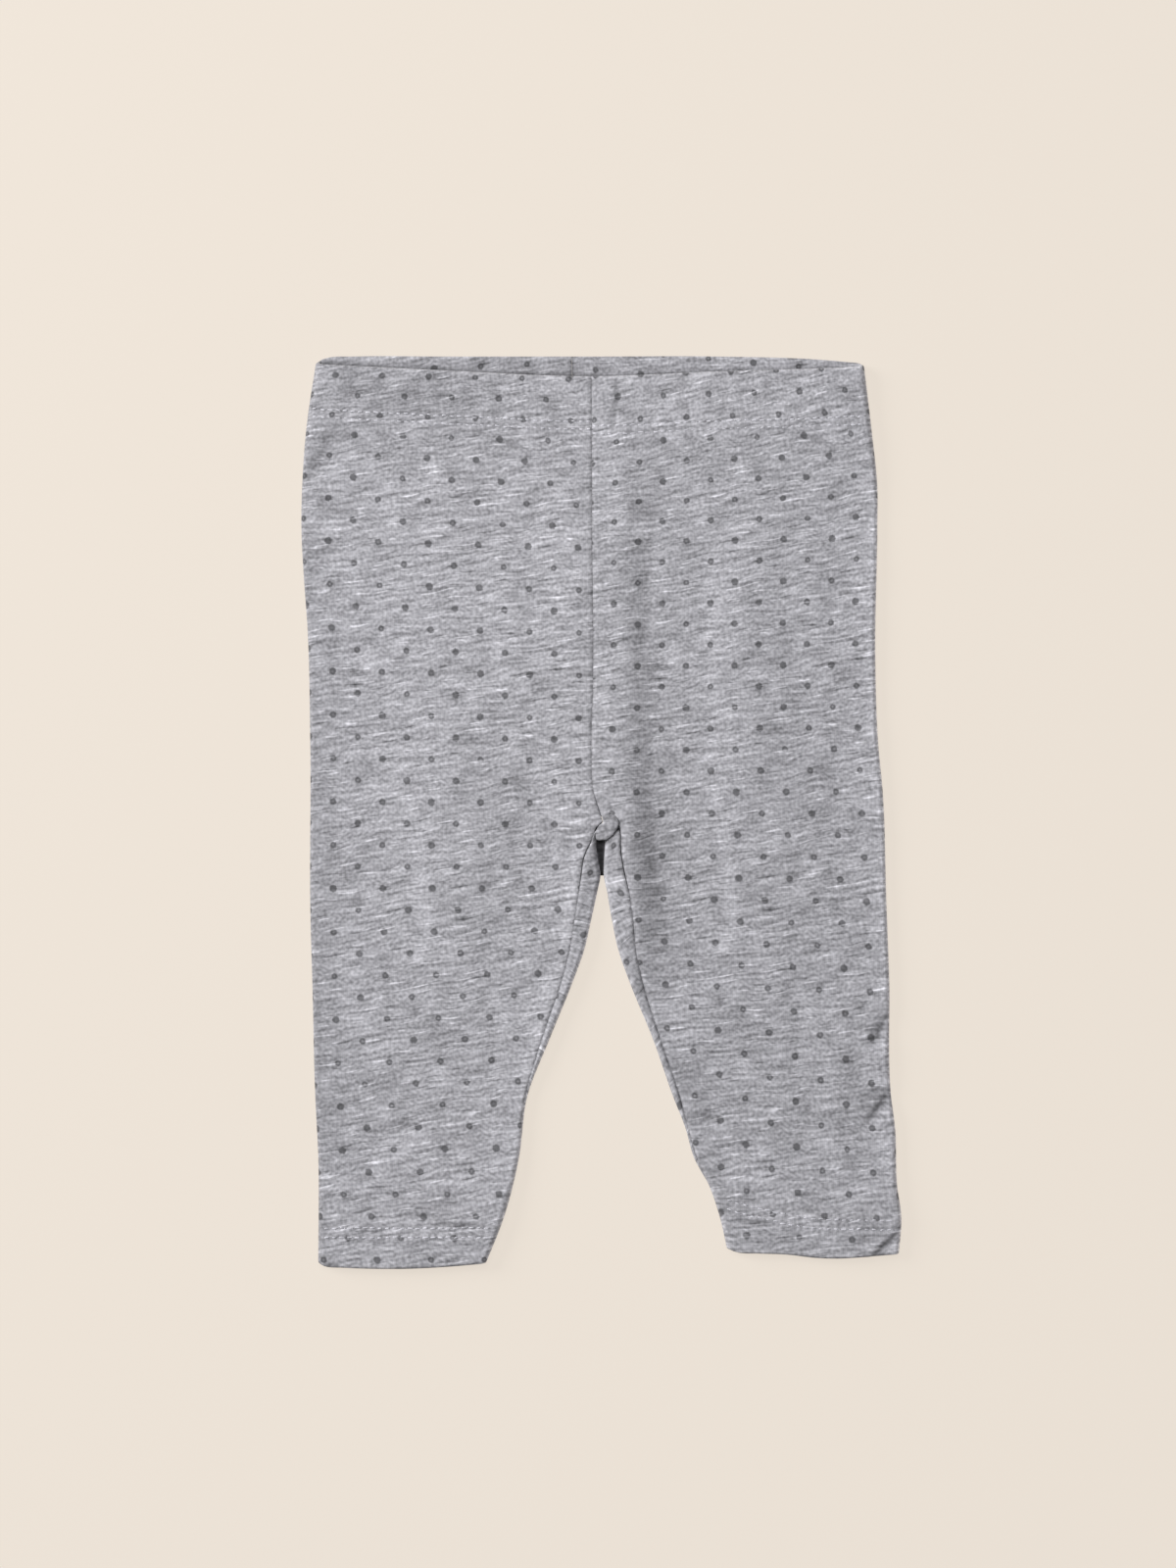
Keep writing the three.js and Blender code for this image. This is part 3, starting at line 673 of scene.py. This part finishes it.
def clothShell(leg, rings, wall, edgeAt=None, inside=False):
    table = {key: np.array([made[key] for made in rings]) for key in rings[0]}
    level = levelOf(leg, table["x"], table["y"], table["share"])
    height = heightAt(leg, table["sampleX"], table["sampleY"])
    base = np.stack([table["x"], level, table["share"] * height], -1)
    into = np.stack([table["inX"], np.zeros_like(level), table["inZ"]], -1)
    dip = seamLook["groove"] * gauss(table["seam"], seamLook["width"])
    if edgeAt is not None:  # the turned edge of a band is round
        past = np.clip(1 - np.abs(table["y"] - edgeAt) / (wall / 2), 0, 1)
        dip = np.maximum(dip, wall / 2 * (1 - np.sqrt(1 - past**2)) * 0.97)
    under = np.where(dip > 0.9 * wall / 2, wall - dip, wall)
    if edgeAt is not None:
        under = wall - np.where(past > 0, wall / 2 * (1 - np.sqrt(1 - past**2)) * 0.97, 0)
    outer = base + into * dip[..., None]
    inner = base + into * under[..., None]
    points, faces, border = shellAround(outer, inner, leg["side"] > 0)
    if edgeAt is not None:
        border = np.where(np.abs(np.tile(table["y"].ravel(), 2) - edgeAt) < 0.01, 0, border)

    flatLevel = level + table["flatY"] - table["y"]
    along, row = clothPlace(leg, table["flatX"], flatLevel)
    along = along + table["strip"] * leg["stripShift"][0]
    row = row + table["strip"] * leg["stripShift"][1]
    flat = np.stack([along * dots["spacing"], -row * dots["rows"]], -1)
    flatInside = flat
    if inside:  # the casing's inner face is the same cloth, turned over the top edge
        along, row = clothPlace(leg, table["x"], level)
        rise, middle = leg["insideRise"]
        row = row + leg["insideShift"][1] + rise * (table["x"] - middle) / dots["rows"]
        flatInside = np.stack([(along + leg["insideShift"][0]) * dots["spacing"],
                               -row * dots["rows"]], -1)
    low, high = seamLook["coverstitched"]
    crossed = smoothStep(level, low - 0.6, low) * (1 - smoothStep(level, high, high + 0.6))
    centre = seamLook["centreLine"] * (1 - 0.8 * crossed)
    line = lerp(seamLook["inseamLine"], centre, smoothStep(level, -6, 2))
    line = line * (0.72 + 0.28 * np.sin(level * 1.7 + 2 * np.sin(level * 0.41)))
    shadow = foldHeight(shadowLines, table["x"], level) * smoothStep(table["share"], 0.3, 0.8)
    shade = (1 - line * gauss(table["seam"], seamLook["lineWidth"])) * (1 - np.minimum(shadow, 0.8))
    # Painted light and shade along the outer folds, and the inner folds below the crotch: sides that
    # face away from the lamp are painted lighter, with a narrow painted highlight at the edge, and
    # sides that face it are painted darker
    upper = smoothStep(table["share"], 0.02, 0.4)
    folded = {"outer": table["x"] - leg["outerFold"](level)["x"],
              "inner": table["x"] - leg["innerEdge"](level)["fold"]}
    for fold, distance in folded.items():
        reach = upper if fold == "outer" else upper * smoothStep(-level, 25, 40)
        lift = seamLook["inLight"][fold] * gauss(distance, seamLook["fluff"])
        if (leg["side"] > 0) == (fold == "outer"):  # it faces away from the light
            lift = seamLook["inShadow"] * gauss(distance, seamLook["fluff"])
            lift = lift + seamLook["inShadowFringe"] * gauss(distance, seamLook["fringe"])
        shade = shade * (1 + lift * reach)
    # Painted light: beyond the hem's corner line the cloth is painted lighter
    if leg["side"] > 0:
        x1, y1, x2, y2 = hemDetail["cornerLine"]
        outside = ((table["x"] - x1) * (y2 - y1) - (level - y1) * (x2 - x1))
        outside = -outside / math.hypot(x2 - x1, y2 - y1)
        shade = shade * (1 + hemDetail["cornerLight"] * smoothStep(outside, 0.6, 1.4))
    shadeInside = shade
    if inside:  # painted shade on the inside of the back casing: darker on the left, darkest just above the edge of the front casing
        above = level - waistEdge(table["x"])["front"]
        toRight = smoothStep(table["x"], -20, 60)
        edge = lerp(0.52, 0.40, toRight) * gauss(above + 0.3, 1.5)
        shadeInside = 1 - lerp(0.17, 0.0, toRight) - edge
        backSeam = table["x"] - centreSeams(level)["back"]
        shadeInside = shadeInside * (1 - seamLook["backLine"] * gauss(backSeam, 0.8))
        shadeInside = np.where(table["share"] < 0.5, shadeInside, 1)
    return {"points": points, "faces": faces, "border": border,
            "flat": np.concatenate([flat.reshape(-1, 2), flatInside.reshape(-1, 2)]),
            "shade": np.concatenate([shade.ravel(), shadeInside.ravel()])}


# The back cloth bulges over the front where the seams meet at the crotch. stand is its height there.
lobe = {
    "centre": (2.4, -6.1), "middle": 0.85, "wall": 0.8, "columns": 25,
    "outline": rowsOf(["x", "y", "stand"], [
        [0.66, -4.6, 0.25], [-1.2, -6.1, 0.3], [-2.0, -7.5, 0.4], [-2.15, -9.3, 0.5],
        [-2.1, -11.0, 0.6], [-1.0, -11.5, 0.8], [0.6, -11.35, 0.9], [2.1, -11.3, 1.0],
        [3.7, -10.3, 1.0], [5.3, -8.4, 1.0], [6.6, -6.5, 0.9], [7.1, -4.6, 0.7],
        [6.4, -2.9, 0.45], [5.4, -1.6, 0.2], [3.8, -1.1, 0.1], [2.2, -1.7, 0.1], [1.1, -2.9, 0.15],
    ]),
    "ridges": rowsOf(["x1", "y1", "x2", "y2", "width", "height"], [
        [-0.2, -6.6, 1.8, -7.6, 0.6, 0.45], [-1.2, -8.2, 0.6, -8.8, 0.6, 0.45],
        [1.2, -4.4, 3.2, -8.8, 0.8, -0.45], [3.4, -3.2, 4.6, -7.4, 0.8, 0.3],
        [-0.6, -7.4, 1.2, -8.2, 0.4, -0.35], [5.2, -2.6, 5.6, -6.0, 0.7, -0.3],
    ]),
    # Painted crease shadows on the lobe, in the same columns; the last is the share of light lost
    "paintedShadows": rowsOf(["x1", "y1", "x2", "y2", "width", "height"], [
        [-0.2, -5.4, -1.2, -7.4, 0.5, 0.3], [1.4, -4.2, 2.4, -7.6, 0.6, 0.18],
        [0.9, -3.0, 1.7, -2.6, 0.7, 0.3], [5.4, -2.6, 6.6, -4.2, 0.8, 0.35],
        [-0.9, -7.8, 0.9, -8.3, 0.35, 0.3], [1.2, -2.2, 5.2, -1.5, 0.6, 0.3],
        [1.9, -3.6, 2.4, -4.7, 0.7, 0.42], [4.9, -2.8, 5.5, -3.9, 0.6, 0.40],
        [3.3, -3.4, 4.0, -6.6, 0.5, 0.20],
    ]),
}


def lobeShell(leg):
    side = np.linspace(-1, 1, lobe["columns"])
    u, v = np.meshgrid(side, side)
    u, v = u * np.sqrt(1 - v**2 / 2), v * np.sqrt(1 - u**2 / 2)  # a square grid on a round form
    part, angle = np.hypot(u, v), np.arctan2(v, u)
    cx, cy = lobe["centre"]
    angles = [math.atan2(point["y"] - cy, point["x"] - cx) for point in lobe["outline"]]
    reach = [math.hypot(point["y"] - cy, point["x"] - cx) for point in lobe["outline"]]
    stands = [point["stand"] for point in lobe["outline"]]
    order = np.argsort(angles)
    at = lambda values: np.interp(angle, np.take(angles, order), np.take(values, order),
                                  period=2 * math.pi)
    x, y = cx + part * at(reach) * np.cos(angle), cy + part * at(reach) * np.sin(angle)
    base = topHeight(leg, x, y)
    stand = lerp(lobe["middle"], at(stands), part) * np.sqrt(1 - 0.96 * part**5)
    stand = stand + foldHeight(lobe["ridges"], x, y) * (1 - part**2)
    top = base + 0.12 + stand
    low = np.maximum(base + 0.04, top - lobe["wall"])
    points, faces, border = shellAround(np.stack([x, y, top], -1), np.stack([x, y, low], -1), False)
    flat = np.stack([x - cx + dots["spacing"] / 2, y - cy], -1).reshape(-1, 2)
    # Painted shade: the lobe is darker all over, darkest along its standing lower right edge, and
    # darker still in the painted crease shadows
    shade = 0.80 - 0.46 * smoothStep(part, 0.86, 1.0) * smoothStep(at(stands), 0.3, 0.9)
    shade = shade * (1 - foldHeight(lobe["paintedShadows"], x, y))
    return {"points": points, "faces": faces, "border": border * 0,
            "flat": np.concatenate([flat, flat]),
            "shade": np.concatenate([shade.ravel(), shade.ravel()])}


# A sheet painted dark with shade lies deep in the gap below the crotch, where the two legs' folds
# touch and hardly any light falls
hollow = {"top": -10.2, "bottom": -25.4, "rows": 16, "columns": 9, "tuck": 0.3,
          "height": (0.9, 0.45), "wall": 0.35, "light": 0.12, "besideLight": 0.7}


def hollowShell():
    y = np.linspace(hollow["top"], hollow["bottom"], hollow["rows"])[:, None]
    edges = [np.interp(-y, [-row["innerY"] for row in leg["crotch"]],
                       [row["innerX"] for row in leg["crotch"]]) for leg in (rightLeg, leftLeg)]
    across = np.linspace(0, 1, hollow["columns"])[None, :]
    x = lerp(edges[0] - hollow["tuck"], edges[1] + hollow["tuck"], across)
    down = np.linspace(0, 1, hollow["rows"])[:, None]
    beside = smoothStep(np.abs(2 * across - 1) * (0.4 + 0.8 * down), 0.35, 0.9)
    light = lerp(hollow["light"], hollow["besideLight"], beside).ravel()  # it narrows downwards
    y = np.broadcast_to(y, x.shape)
    top = np.interp(-y, [-hollow["top"], -hollow["bottom"]], hollow["height"])
    points, faces, border = shellAround(np.stack([x, y, top], -1),
                                        np.stack([x, y, top - hollow["wall"]], -1), False)
    flat = np.stack([x + dots["spacing"] / 2, y], -1).reshape(-1, 2)
    return {"points": points, "faces": faces, "border": border, "flat": np.concatenate([flat, flat]),
            "shade": np.concatenate([light, light])}


# Two rows of coverstitch on each band. The dashes are the loops of thread between needle holes.
stitches = {
    "pitch": 3.0, "long": 2.0, "across": 0.6, "sink": 0.06, "fromFold": 3.4,
    "hole": 0.75, "holeLight": 0.32,  # length of the pit between two dashes, a bead painted dark with the shade in the needle hole
    "stations": (-1, -0.9, -0.6, 0, 0.6, 0.9, 1), "sides": 6,
    "ends": 0.35,
}


def stitchShells(leg, part):
    side, shells = leg["side"], []
    count = len(stitches["stations"])
    at = np.arange(count * stitches["sides"]).reshape(count, -1)
    after = np.roll(at, -1, axis=1)
    around = np.stack([at[:-1], at[1:], after[1:], after[:-1]], -1).reshape(-1, 4)
    caps = [[row[a] for a in picked] for row, picks in (
        (at[0], ((0, 1, 2, 3), (0, 3, 4, 5))), (at[-1], ((3, 2, 1, 0), (5, 4, 3, 0))))
        for picked in picks]
    oneFaces = np.concatenate([around, np.array(caps)])
    u = np.array(stitches["stations"], float)
    thick = stitches["across"] / 2 * np.sqrt(1 - (1 - stitches["ends"] ** 2) * np.abs(u) ** 5)
    turn = 2 * math.pi * np.arange(stitches["sides"]) / stitches["sides"]
    random = np.random.default_rng(31 + side)
    for onTop in (1.0, 0.0):
        for offset in leg[part + "Rows"]:
            if part == "waist":
                seams = centreSeams(156.0)
                near = float(seams["front" if onTop else "back"]) + side * 1.2
                far = float(leg["outerFold"](156.0)["x"]) - side * stitches["fromFold"]
            else:
                near = float(leg["innerEdge"](-163.0)["fold"]) + side * stitches["fromFold"]
                far = float(leg["outerFold"](-163.0)["x"]) - side * stitches["fromFold"]
            dashes = np.arange(min(near, far), max(near, far), stitches["pitch"])
            half = stitches["long"] / 2 * random.uniform(0.7, 1.15, len(dashes))
            middles = np.concatenate([dashes + random.uniform(-0.15, 0.15, len(dashes)),
                                      dashes + stitches["pitch"] / 2])
            half = np.concatenate([half, np.full(len(dashes), stitches["hole"] / 2)])
            pit = np.arange(len(middles)) >= len(dashes)
            x = middles[:, None] + half[:, None] * u[None, :]
            if part == "waist":
                y = levelOf(leg, x, cloth["waistLevel"] - cloth["casingDepth"], onTop) + offset
            else:
                y = leg["hemEdge"](x)["stitch"] + offset
            y = y + random.uniform(-0.22, 0.22, len(middles))[:, None]
            y = y + random.uniform(-0.12, 0.12, len(middles))[:, None] * u  # each a little askew
            z = topHeight(leg, x, y) - stitches["sink"] if onTop else 0.17 + 0 * x
            flatten = np.where(pit, 0.3, 1 if onTop else 0.6)[:, None, None]
            points = np.stack([
                np.broadcast_to(x[..., None], (*x.shape, len(turn))),
                y[..., None] + thick[None, :, None] * np.cos(turn),
                z[..., None] + thick[None, :, None] * np.sin(turn) * flatten,
            ], -1)
            each = points.reshape(len(middles), -1, 3)
            faces = (oneFaces[None] + (np.arange(len(middles)) * each.shape[1])[:, None, None])
            total = each.reshape(-1, 3)
            light = np.where(pit, stitches["holeLight"], random.uniform(0.78, 1.04, len(middles)))
            shells.append({"points": total, "faces": faces.reshape(-1, 4),
                           "border": np.zeros(len(total), int), "flat": total[:, :2],
                           "shade": np.repeat(light, each.shape[1])})
    return shells


# Colours are given as sRGB hex and turned to linear here
def linear(hexColour):
    parts = [int(hexColour[i:i + 2], 16) / 255 for i in (1, 3, 5)]
    return [p / 12.92 if p <= 0.04045 else ((p + 0.055) / 1.055) ** 2.4 for p in parts]


# Adds a node: values or sockets for its inputs, and its own settings by name
def addNode(tree, kind, inputs=None, **settings):
    node = tree.nodes.new(kind)
    for key, value in settings.items():
        setattr(node, key, value)
    for key, value in (inputs or {}).items():
        if isinstance(value, bpy.types.NodeSocket):
            tree.links.new(value, node.inputs[key])
        else:
            node.inputs[key].default_value = value
    return node


def newMaterial(name):
    material = bpy.data.materials.new(name)
    material.use_nodes = True
    tree = material.node_tree
    tree.nodes.clear()
    return material, tree


# Small printed dots in a half-drop repeat, in millimetres of cloth
dots = {
    "spacing": 19.7, "rows": 8.53,
    "across": 2.55, "soft": 0.36,
    "worn": 0.75,  # the middle of some dots is rubbed lighter out to here
    "tone": 0.375,  # brightness of the ink as it shows, where the cloth is about 0.65
}

# Cotton and viscose slub jersey, melange yarn, piece printed. The yarn changes in thickness, which
# gives short light and dark streaks along the courses. They lie 8 degrees off the rows of dots.
jersey = {
    "tone": 0.640,
    "tint": (1.0, 0.987, 1.056),
    "courseTurn": 9.0,
    # Unevenness of the yarn: how long and how high each kind of streak is, and how strong
    "fibres": [
        ("long", 19.0, 1.5, 11.0, 0.22), ("middle", 6.6, 1.3, 23.0, 0.26),
        ("grain", 1.3, 1.1, 37.0, 0.30), ("blotch", 16.0, 9.0, 41.0, 0.08),
        ("thick", 10.0, 1.05, 53.0, 0), ("thin", 9.0, 1.0, 97.0, 0),
    ],
    "light": 0.17, "dark": 0.13,
    "rib": 0.012,
    "wale": 0.75,
    "roughness": 0.92, "sheen": 0.15,
    "exposure": 0.90,  # share of the light that the pale floor gives back as its own colour
}


def jerseyMaterial(name, settings):
    material, tree = newMaterial(name)
    place = addNode(tree, "ShaderNodeUVMap", uv_map="flatCut")
    flat = addNode(tree, "ShaderNodeVectorMath", {0: place.outputs[0], "Scale": 1000.0},
                   operation="SCALE")
    parts = addNode(tree, "ShaderNodeSeparateXYZ", {0: flat.outputs[0]})

    # Nearest dot: its row, its place in the row, and how far away its middle is
    rowAt = addNode(tree, "ShaderNodeMath", {0: parts.outputs[1], 1: dots["rows"]},
                    operation="DIVIDE")
    row = addNode(tree, "ShaderNodeMath", {0: rowAt.outputs[0]}, operation="ROUND")
    dy = addNode(tree, "ShaderNodeMath", {0: rowAt.outputs[0], 1: row.outputs[0]},
                 operation="SUBTRACT")
    halfRow = addNode(tree, "ShaderNodeMath", {0: row.outputs[0], 1: 0.5}, operation="MULTIPLY")
    drop = addNode(tree, "ShaderNodeMath", {0: halfRow.outputs[0]}, operation="FRACT")
    alongAt = addNode(tree, "ShaderNodeMath", {0: parts.outputs[0], 1: dots["spacing"]},
                      operation="DIVIDE")
    fromDrop = addNode(tree, "ShaderNodeMath", {0: alongAt.outputs[0], 1: drop.outputs[0]},
                       operation="SUBTRACT")
    column = addNode(tree, "ShaderNodeMath", {0: fromDrop.outputs[0]}, operation="ROUND")
    dx = addNode(tree, "ShaderNodeMath", {0: fromDrop.outputs[0], 1: column.outputs[0]},
                 operation="SUBTRACT")
    cell = addNode(tree, "ShaderNodeCombineXYZ", {0: column.outputs[0], 1: row.outputs[0]})
    chance = addNode(tree, "ShaderNodeTexWhiteNoise", {"Vector": cell.outputs[0]},
                     noise_dimensions="3D")
    offset = addNode(tree, "ShaderNodeCombineXYZ", {0: dx.outputs[0], 1: dy.outputs[0]})
    scaled = addNode(tree, "ShaderNodeVectorMath",
                     {0: offset.outputs[0], 1: (dots["spacing"], dots["rows"], 1)},
                     operation="MULTIPLY")
    away = addNode(tree, "ShaderNodeVectorMath", {0: scaled.outputs[0]}, operation="LENGTH")

    # Streaks run along the courses
    turned = addNode(tree, "ShaderNodeVectorRotate",
                     {"Vector": flat.outputs[0],
                      "Angle": -math.radians(settings["courseTurn"])},
                     rotation_type="Z_AXIS")
    sway = addNode(tree, "ShaderNodeTexNoise",
                   {"Vector": turned.outputs[0], "Scale": 0.055, "Detail": 1.0})
    swayUp = addNode(tree, "ShaderNodeMath", {0: sway.outputs[0], 1: 3.2},
                     operation="MULTIPLY")
    swayOff = addNode(tree, "ShaderNodeCombineXYZ", {1: swayUp.outputs[0]})
    course = addNode(tree, "ShaderNodeVectorMath", {0: turned.outputs[0], 1: swayOff.outputs[0]})

    tone = None
    streaks = {}
    for name, long, high, seed, weight in settings["fibres"]:
        stretched = addNode(tree, "ShaderNodeMapping", {
            "Vector": course.outputs[0], "Location": (seed, seed * 0.7, seed),
            "Scale": (1 / long, 1 / high, 0),
        })
        noise = addNode(tree, "ShaderNodeTexNoise",
                        {"Vector": stretched.outputs[0], "Scale": 1.0, "Detail": 0.0})
        streaks[name] = noise
        if weight:
            tone = addNode(tree, "ShaderNodeMath", {
                0: noise.outputs[0], 1: weight,
                2: tone.outputs[0] if tone else settings["tone"] - sum(
                    row[4] for row in settings["fibres"]) / 2,
            }, operation="MULTIPLY_ADD")
    slubs = {}
    for name, low, top in (("thick", 0.67, 0.80), ("thin", 0.67, 0.82)):
        slubs[name] = addNode(tree, "ShaderNodeMapRange",
                              {"Value": streaks[name].outputs[0], "From Min": low, "From Max": top},
                              interpolation_type="SMOOTHSTEP")
    lit = addNode(tree, "ShaderNodeMath",
                  {0: slubs["thick"].outputs[0], 1: settings["light"], 2: tone.outputs[0]},
                  operation="MULTIPLY_ADD")
    tone = addNode(tree, "ShaderNodeMath",
                   {0: slubs["thin"].outputs[0], 1: -settings["dark"], 2: lit.outputs[0]},
                   operation="MULTIPLY_ADD")
    ribAt = addNode(tree, "ShaderNodeMath",
                    {0: parts.outputs[0], 1: 2 * math.pi / settings["wale"]},
                    operation="MULTIPLY")
    rib = addNode(tree, "ShaderNodeMath", {0: ribAt.outputs[0]}, operation="SINE")
    tone = addNode(tree, "ShaderNodeMath",
                   {0: rib.outputs[0], 1: settings["rib"], 2: tone.outputs[0]},
                   operation="MULTIPLY_ADD")

    # Ink: a soft uneven edge, and it lets the lightest fibres through
    ragged = addNode(tree, "ShaderNodeTexNoise",
                     {"Vector": course.outputs[0], "Scale": 1.1, "Detail": 1.0})
    edge = addNode(tree, "ShaderNodeMath",
                   {0: ragged.outputs[0], 1: 0.8, 2: away.outputs["Value"]},
                   operation="MULTIPLY_ADD")
    sizeOf = addNode(tree, "ShaderNodeMath",
                     {0: chance.outputs["Value"], 1: 0.3, 2: edge.outputs[0]},
                     operation="MULTIPLY_ADD")
    radius = dots["across"] / 2 + 0.8 / 2 + 0.3 / 2
    ink = addNode(tree, "ShaderNodeMapRange",
                  {"Value": sizeOf.outputs[0], "From Min": radius + dots["soft"],
                   "From Max": radius - dots["soft"]},
                  interpolation_type="SMOOTHSTEP")
    showing = addNode(tree, "ShaderNodeMath",
                      {0: slubs["thick"].outputs[0], 1: -0.35, 2: 0.92},
                      operation="MULTIPLY_ADD")
    inked = addNode(tree, "ShaderNodeMath", {0: ink.outputs[0], 1: showing.outputs[0]},
                    operation="MULTIPLY", use_clamp=True)
    lift = addNode(tree, "ShaderNodeMath", {0: tone.outputs[0], 1: -settings["tone"]},
                   operation="ADD")
    inkTone = addNode(tree, "ShaderNodeMath", {0: lift.outputs[0], 1: 0.45, 2: dots["tone"]},
                      operation="MULTIPLY_ADD")
    middle = addNode(tree, "ShaderNodeMapRange",
                     {"Value": away.outputs["Value"], "From Min": dots["worn"], "From Max": 0.1},
                     interpolation_type="SMOOTHSTEP")
    worn = addNode(tree, "ShaderNodeMath", {0: middle.outputs[0], 1: chance.outputs["Value"]},
                   operation="MULTIPLY")
    wornTone = addNode(tree, "ShaderNodeMath", {0: worn.outputs[0], 1: 0.16, 2: inkTone.outputs[0]},
                       operation="MULTIPLY_ADD")
    final = addNode(tree, "ShaderNodeMix",
                    {0: inked.outputs[0], 2: tone.outputs[0], 3: wornTone.outputs[0]},
                    data_type="FLOAT")

    # From brightness as it shows to the share of light given back
    albedo = addNode(tree, "ShaderNodeMath", {0: final.outputs[0], 1: 2.2}, operation="POWER",
                     use_clamp=True)
    # The shade attribute darkens or lightens the colour with the painted shade and light, and with
    # the seam lines
    shade = addNode(tree, "ShaderNodeAttribute", attribute_name="shade")
    shaded = addNode(tree, "ShaderNodeMath", {0: albedo.outputs[0], 1: shade.outputs["Fac"]},
                     operation="MULTIPLY")
    tint = [part * settings["exposure"] for part in settings["tint"]]
    colour = addNode(tree, "ShaderNodeVectorMath", {0: tint, "Scale": shaded.outputs[0]},
                     operation="SCALE")
    bump = addNode(tree, "ShaderNodeBump",
                   {"Height": final.outputs[0], "Strength": 0.25, "Distance": 0.0004})
    shader = addNode(tree, "ShaderNodeBsdfPrincipled", {
        "Base Color": colour.outputs[0], "Roughness": settings["roughness"],
        "Sheen Weight": settings["sheen"], "Sheen Roughness": 0.5, "Normal": bump.outputs[0],
        "Specular IOR Level": 0.2,
    })
    out = addNode(tree, "ShaderNodeOutputMaterial")
    tree.links.new(shader.outputs[0], out.inputs[0])
    return material


# Polyester sewing thread dyed to match, a little brighter than the cloth
def threadMaterial(name, colour):
    material, tree = newMaterial(name)
    shade = addNode(tree, "ShaderNodeAttribute", attribute_name="shade")
    shaded = addNode(tree, "ShaderNodeVectorMath", {0: linear(colour), "Scale": shade.outputs["Fac"]},
                     operation="SCALE")
    shader = addNode(tree, "ShaderNodeBsdfPrincipled", {
        "Base Color": shaded.outputs[0], "Roughness": 0.6, "Specular IOR Level": 0.35,
    })
    addNode(tree, "ShaderNodeOutputMaterial", {0: shader.outputs[0]})
    return material


thread = threadMaterial("polyesterThread", "#CAC9D0")
looks = {
    "leg": jersey,
    "waistband": {**jersey, "tone": jersey["tone"] + 0.005},
    "hem": jersey,
}
materials = {part: jerseyMaterial("slubJersey" + part.capitalize(), look)
             for part, look in looks.items()}
print("materials ready")

for leg in (rightLeg, leftLeg):
    rings = ringsOf(leg)
    waistEnd, hemEnd = cloth["waistLevel"], cloth["hemLevel"] - cloth["hemDepth"]
    shells = {
        "leg": [clothShell(leg, rings["leg"], cloth["legWall"])]
        + ([lobeShell(leg), hollowShell()] if leg is leftLeg else []),
        "waistband": [clothShell(leg, rings["waistband"], cloth["bandWall"], waistEnd, True)],
        "hem": [clothShell(leg, rings["hem"], cloth["bandWall"], hemEnd)],
    }
    for part, made in shells.items():
        piece = meshFrom(f"{part}_{leg['name']}_cloth", made, materials[part])
        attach(piece, "root")
        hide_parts(f"{part}_{leg['name']}")
        print(piece.name, len(piece.data.polygons) * 2, "triangles")
    for part, rows in (("waistband", "waist"), ("hem", "hem")):
        piece = meshFrom(f"{part}_{leg['name']}_stitches", stitchShells(leg, rows), thread)
        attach(piece, "root")
        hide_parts(f"{part}_{leg['name']}")
        print(piece.name, len(piece.data.polygons) * 2, "triangles")

bpy.context.scene.view_settings.view_transform = "Standard"
# Studio: a pale floor lit from within, so that it keeps its tone and hardly shows a shadow. A low
# soft light comes from the left, a fill from above the waist, and little from all around.
studio = {
    "floor": "#F0E6DA", "floorGlow": 0.88, "light": 1.17,
    # Place in metres, how large the lamp is, and how much of the light it gives on flat cloth
    "lamps": [("key", (-1.75, 0.72, 0.95), 1.1, 0.57), ("fill", (-0.3, 0.75, 1.75), 0.8, 0.30)],
    "sky": 0.15,
}
bpy.ops.mesh.primitive_plane_add(size=12, location=(0, 0, -0.0004))
floor = bpy.context.object
floor.name = "floor"
floorMaterial, tree = newMaterial("paleFloor")
floorTone = linear(studio["floor"])
shader = addNode(tree, "ShaderNodeBsdfPrincipled", {
    "Base Color": (*[part * (1 - studio["floorGlow"]) / studio["light"] for part in floorTone], 1),
    "Roughness": 0.95, "Specular IOR Level": 0.0,
    "Emission Color": (*floorTone, 1), "Emission Strength": studio["floorGlow"] - 0.03,
})
out = addNode(tree, "ShaderNodeOutputMaterial", {0: shader.outputs[0]})
floor.data.materials.append(floorMaterial)

for name, place, size, share in studio["lamps"]:
    away = math.hypot(*place)
    lamp = bpy.data.lights.new(name, "AREA")
    lamp.shape = "DISK"
    lamp.size = size
    # Light on the cloth is power / (pi away^2) times the sine of the lamp's height over the floor
    lamp.energy = share * studio["light"] * math.pi**2 * away**3 / place[2]
    lampObject = bpy.data.objects.new(name, lamp)
    lampObject.location = place
    lampObject.rotation_euler = (math.acos(place[2] / away), 0,
                                 math.atan2(place[1], place[0]) + math.pi / 2)
    bpy.context.scene.collection.objects.link(lampObject)
world = bpy.data.worlds.new("studio")
bpy.context.scene.world = world
world.use_nodes = True
world.node_tree.nodes["Background"].inputs[0].default_value = (1, 1, 1, 1)
world.node_tree.nodes["Background"].inputs[1].default_value = studio["sky"] * studio["light"]

# Camera straight above, as the photograph looks. The frame's long side is 620.8 mm on the floor.
view = {"x": -5.24, "y": 10.83, "height": 1466, "lens": 85}
camera = bpy.data.cameras.new("camera")
camera.lens = view["lens"]
camera.sensor_width = 36
cameraObject = bpy.data.objects.new("camera", camera)
cameraObject.location = (view["x"] * metre, view["y"] * metre, view["height"] * metre)
bpy.context.scene.collection.objects.link(cameraObject)
bpy.context.scene.camera = cameraObject
print("studio ready")
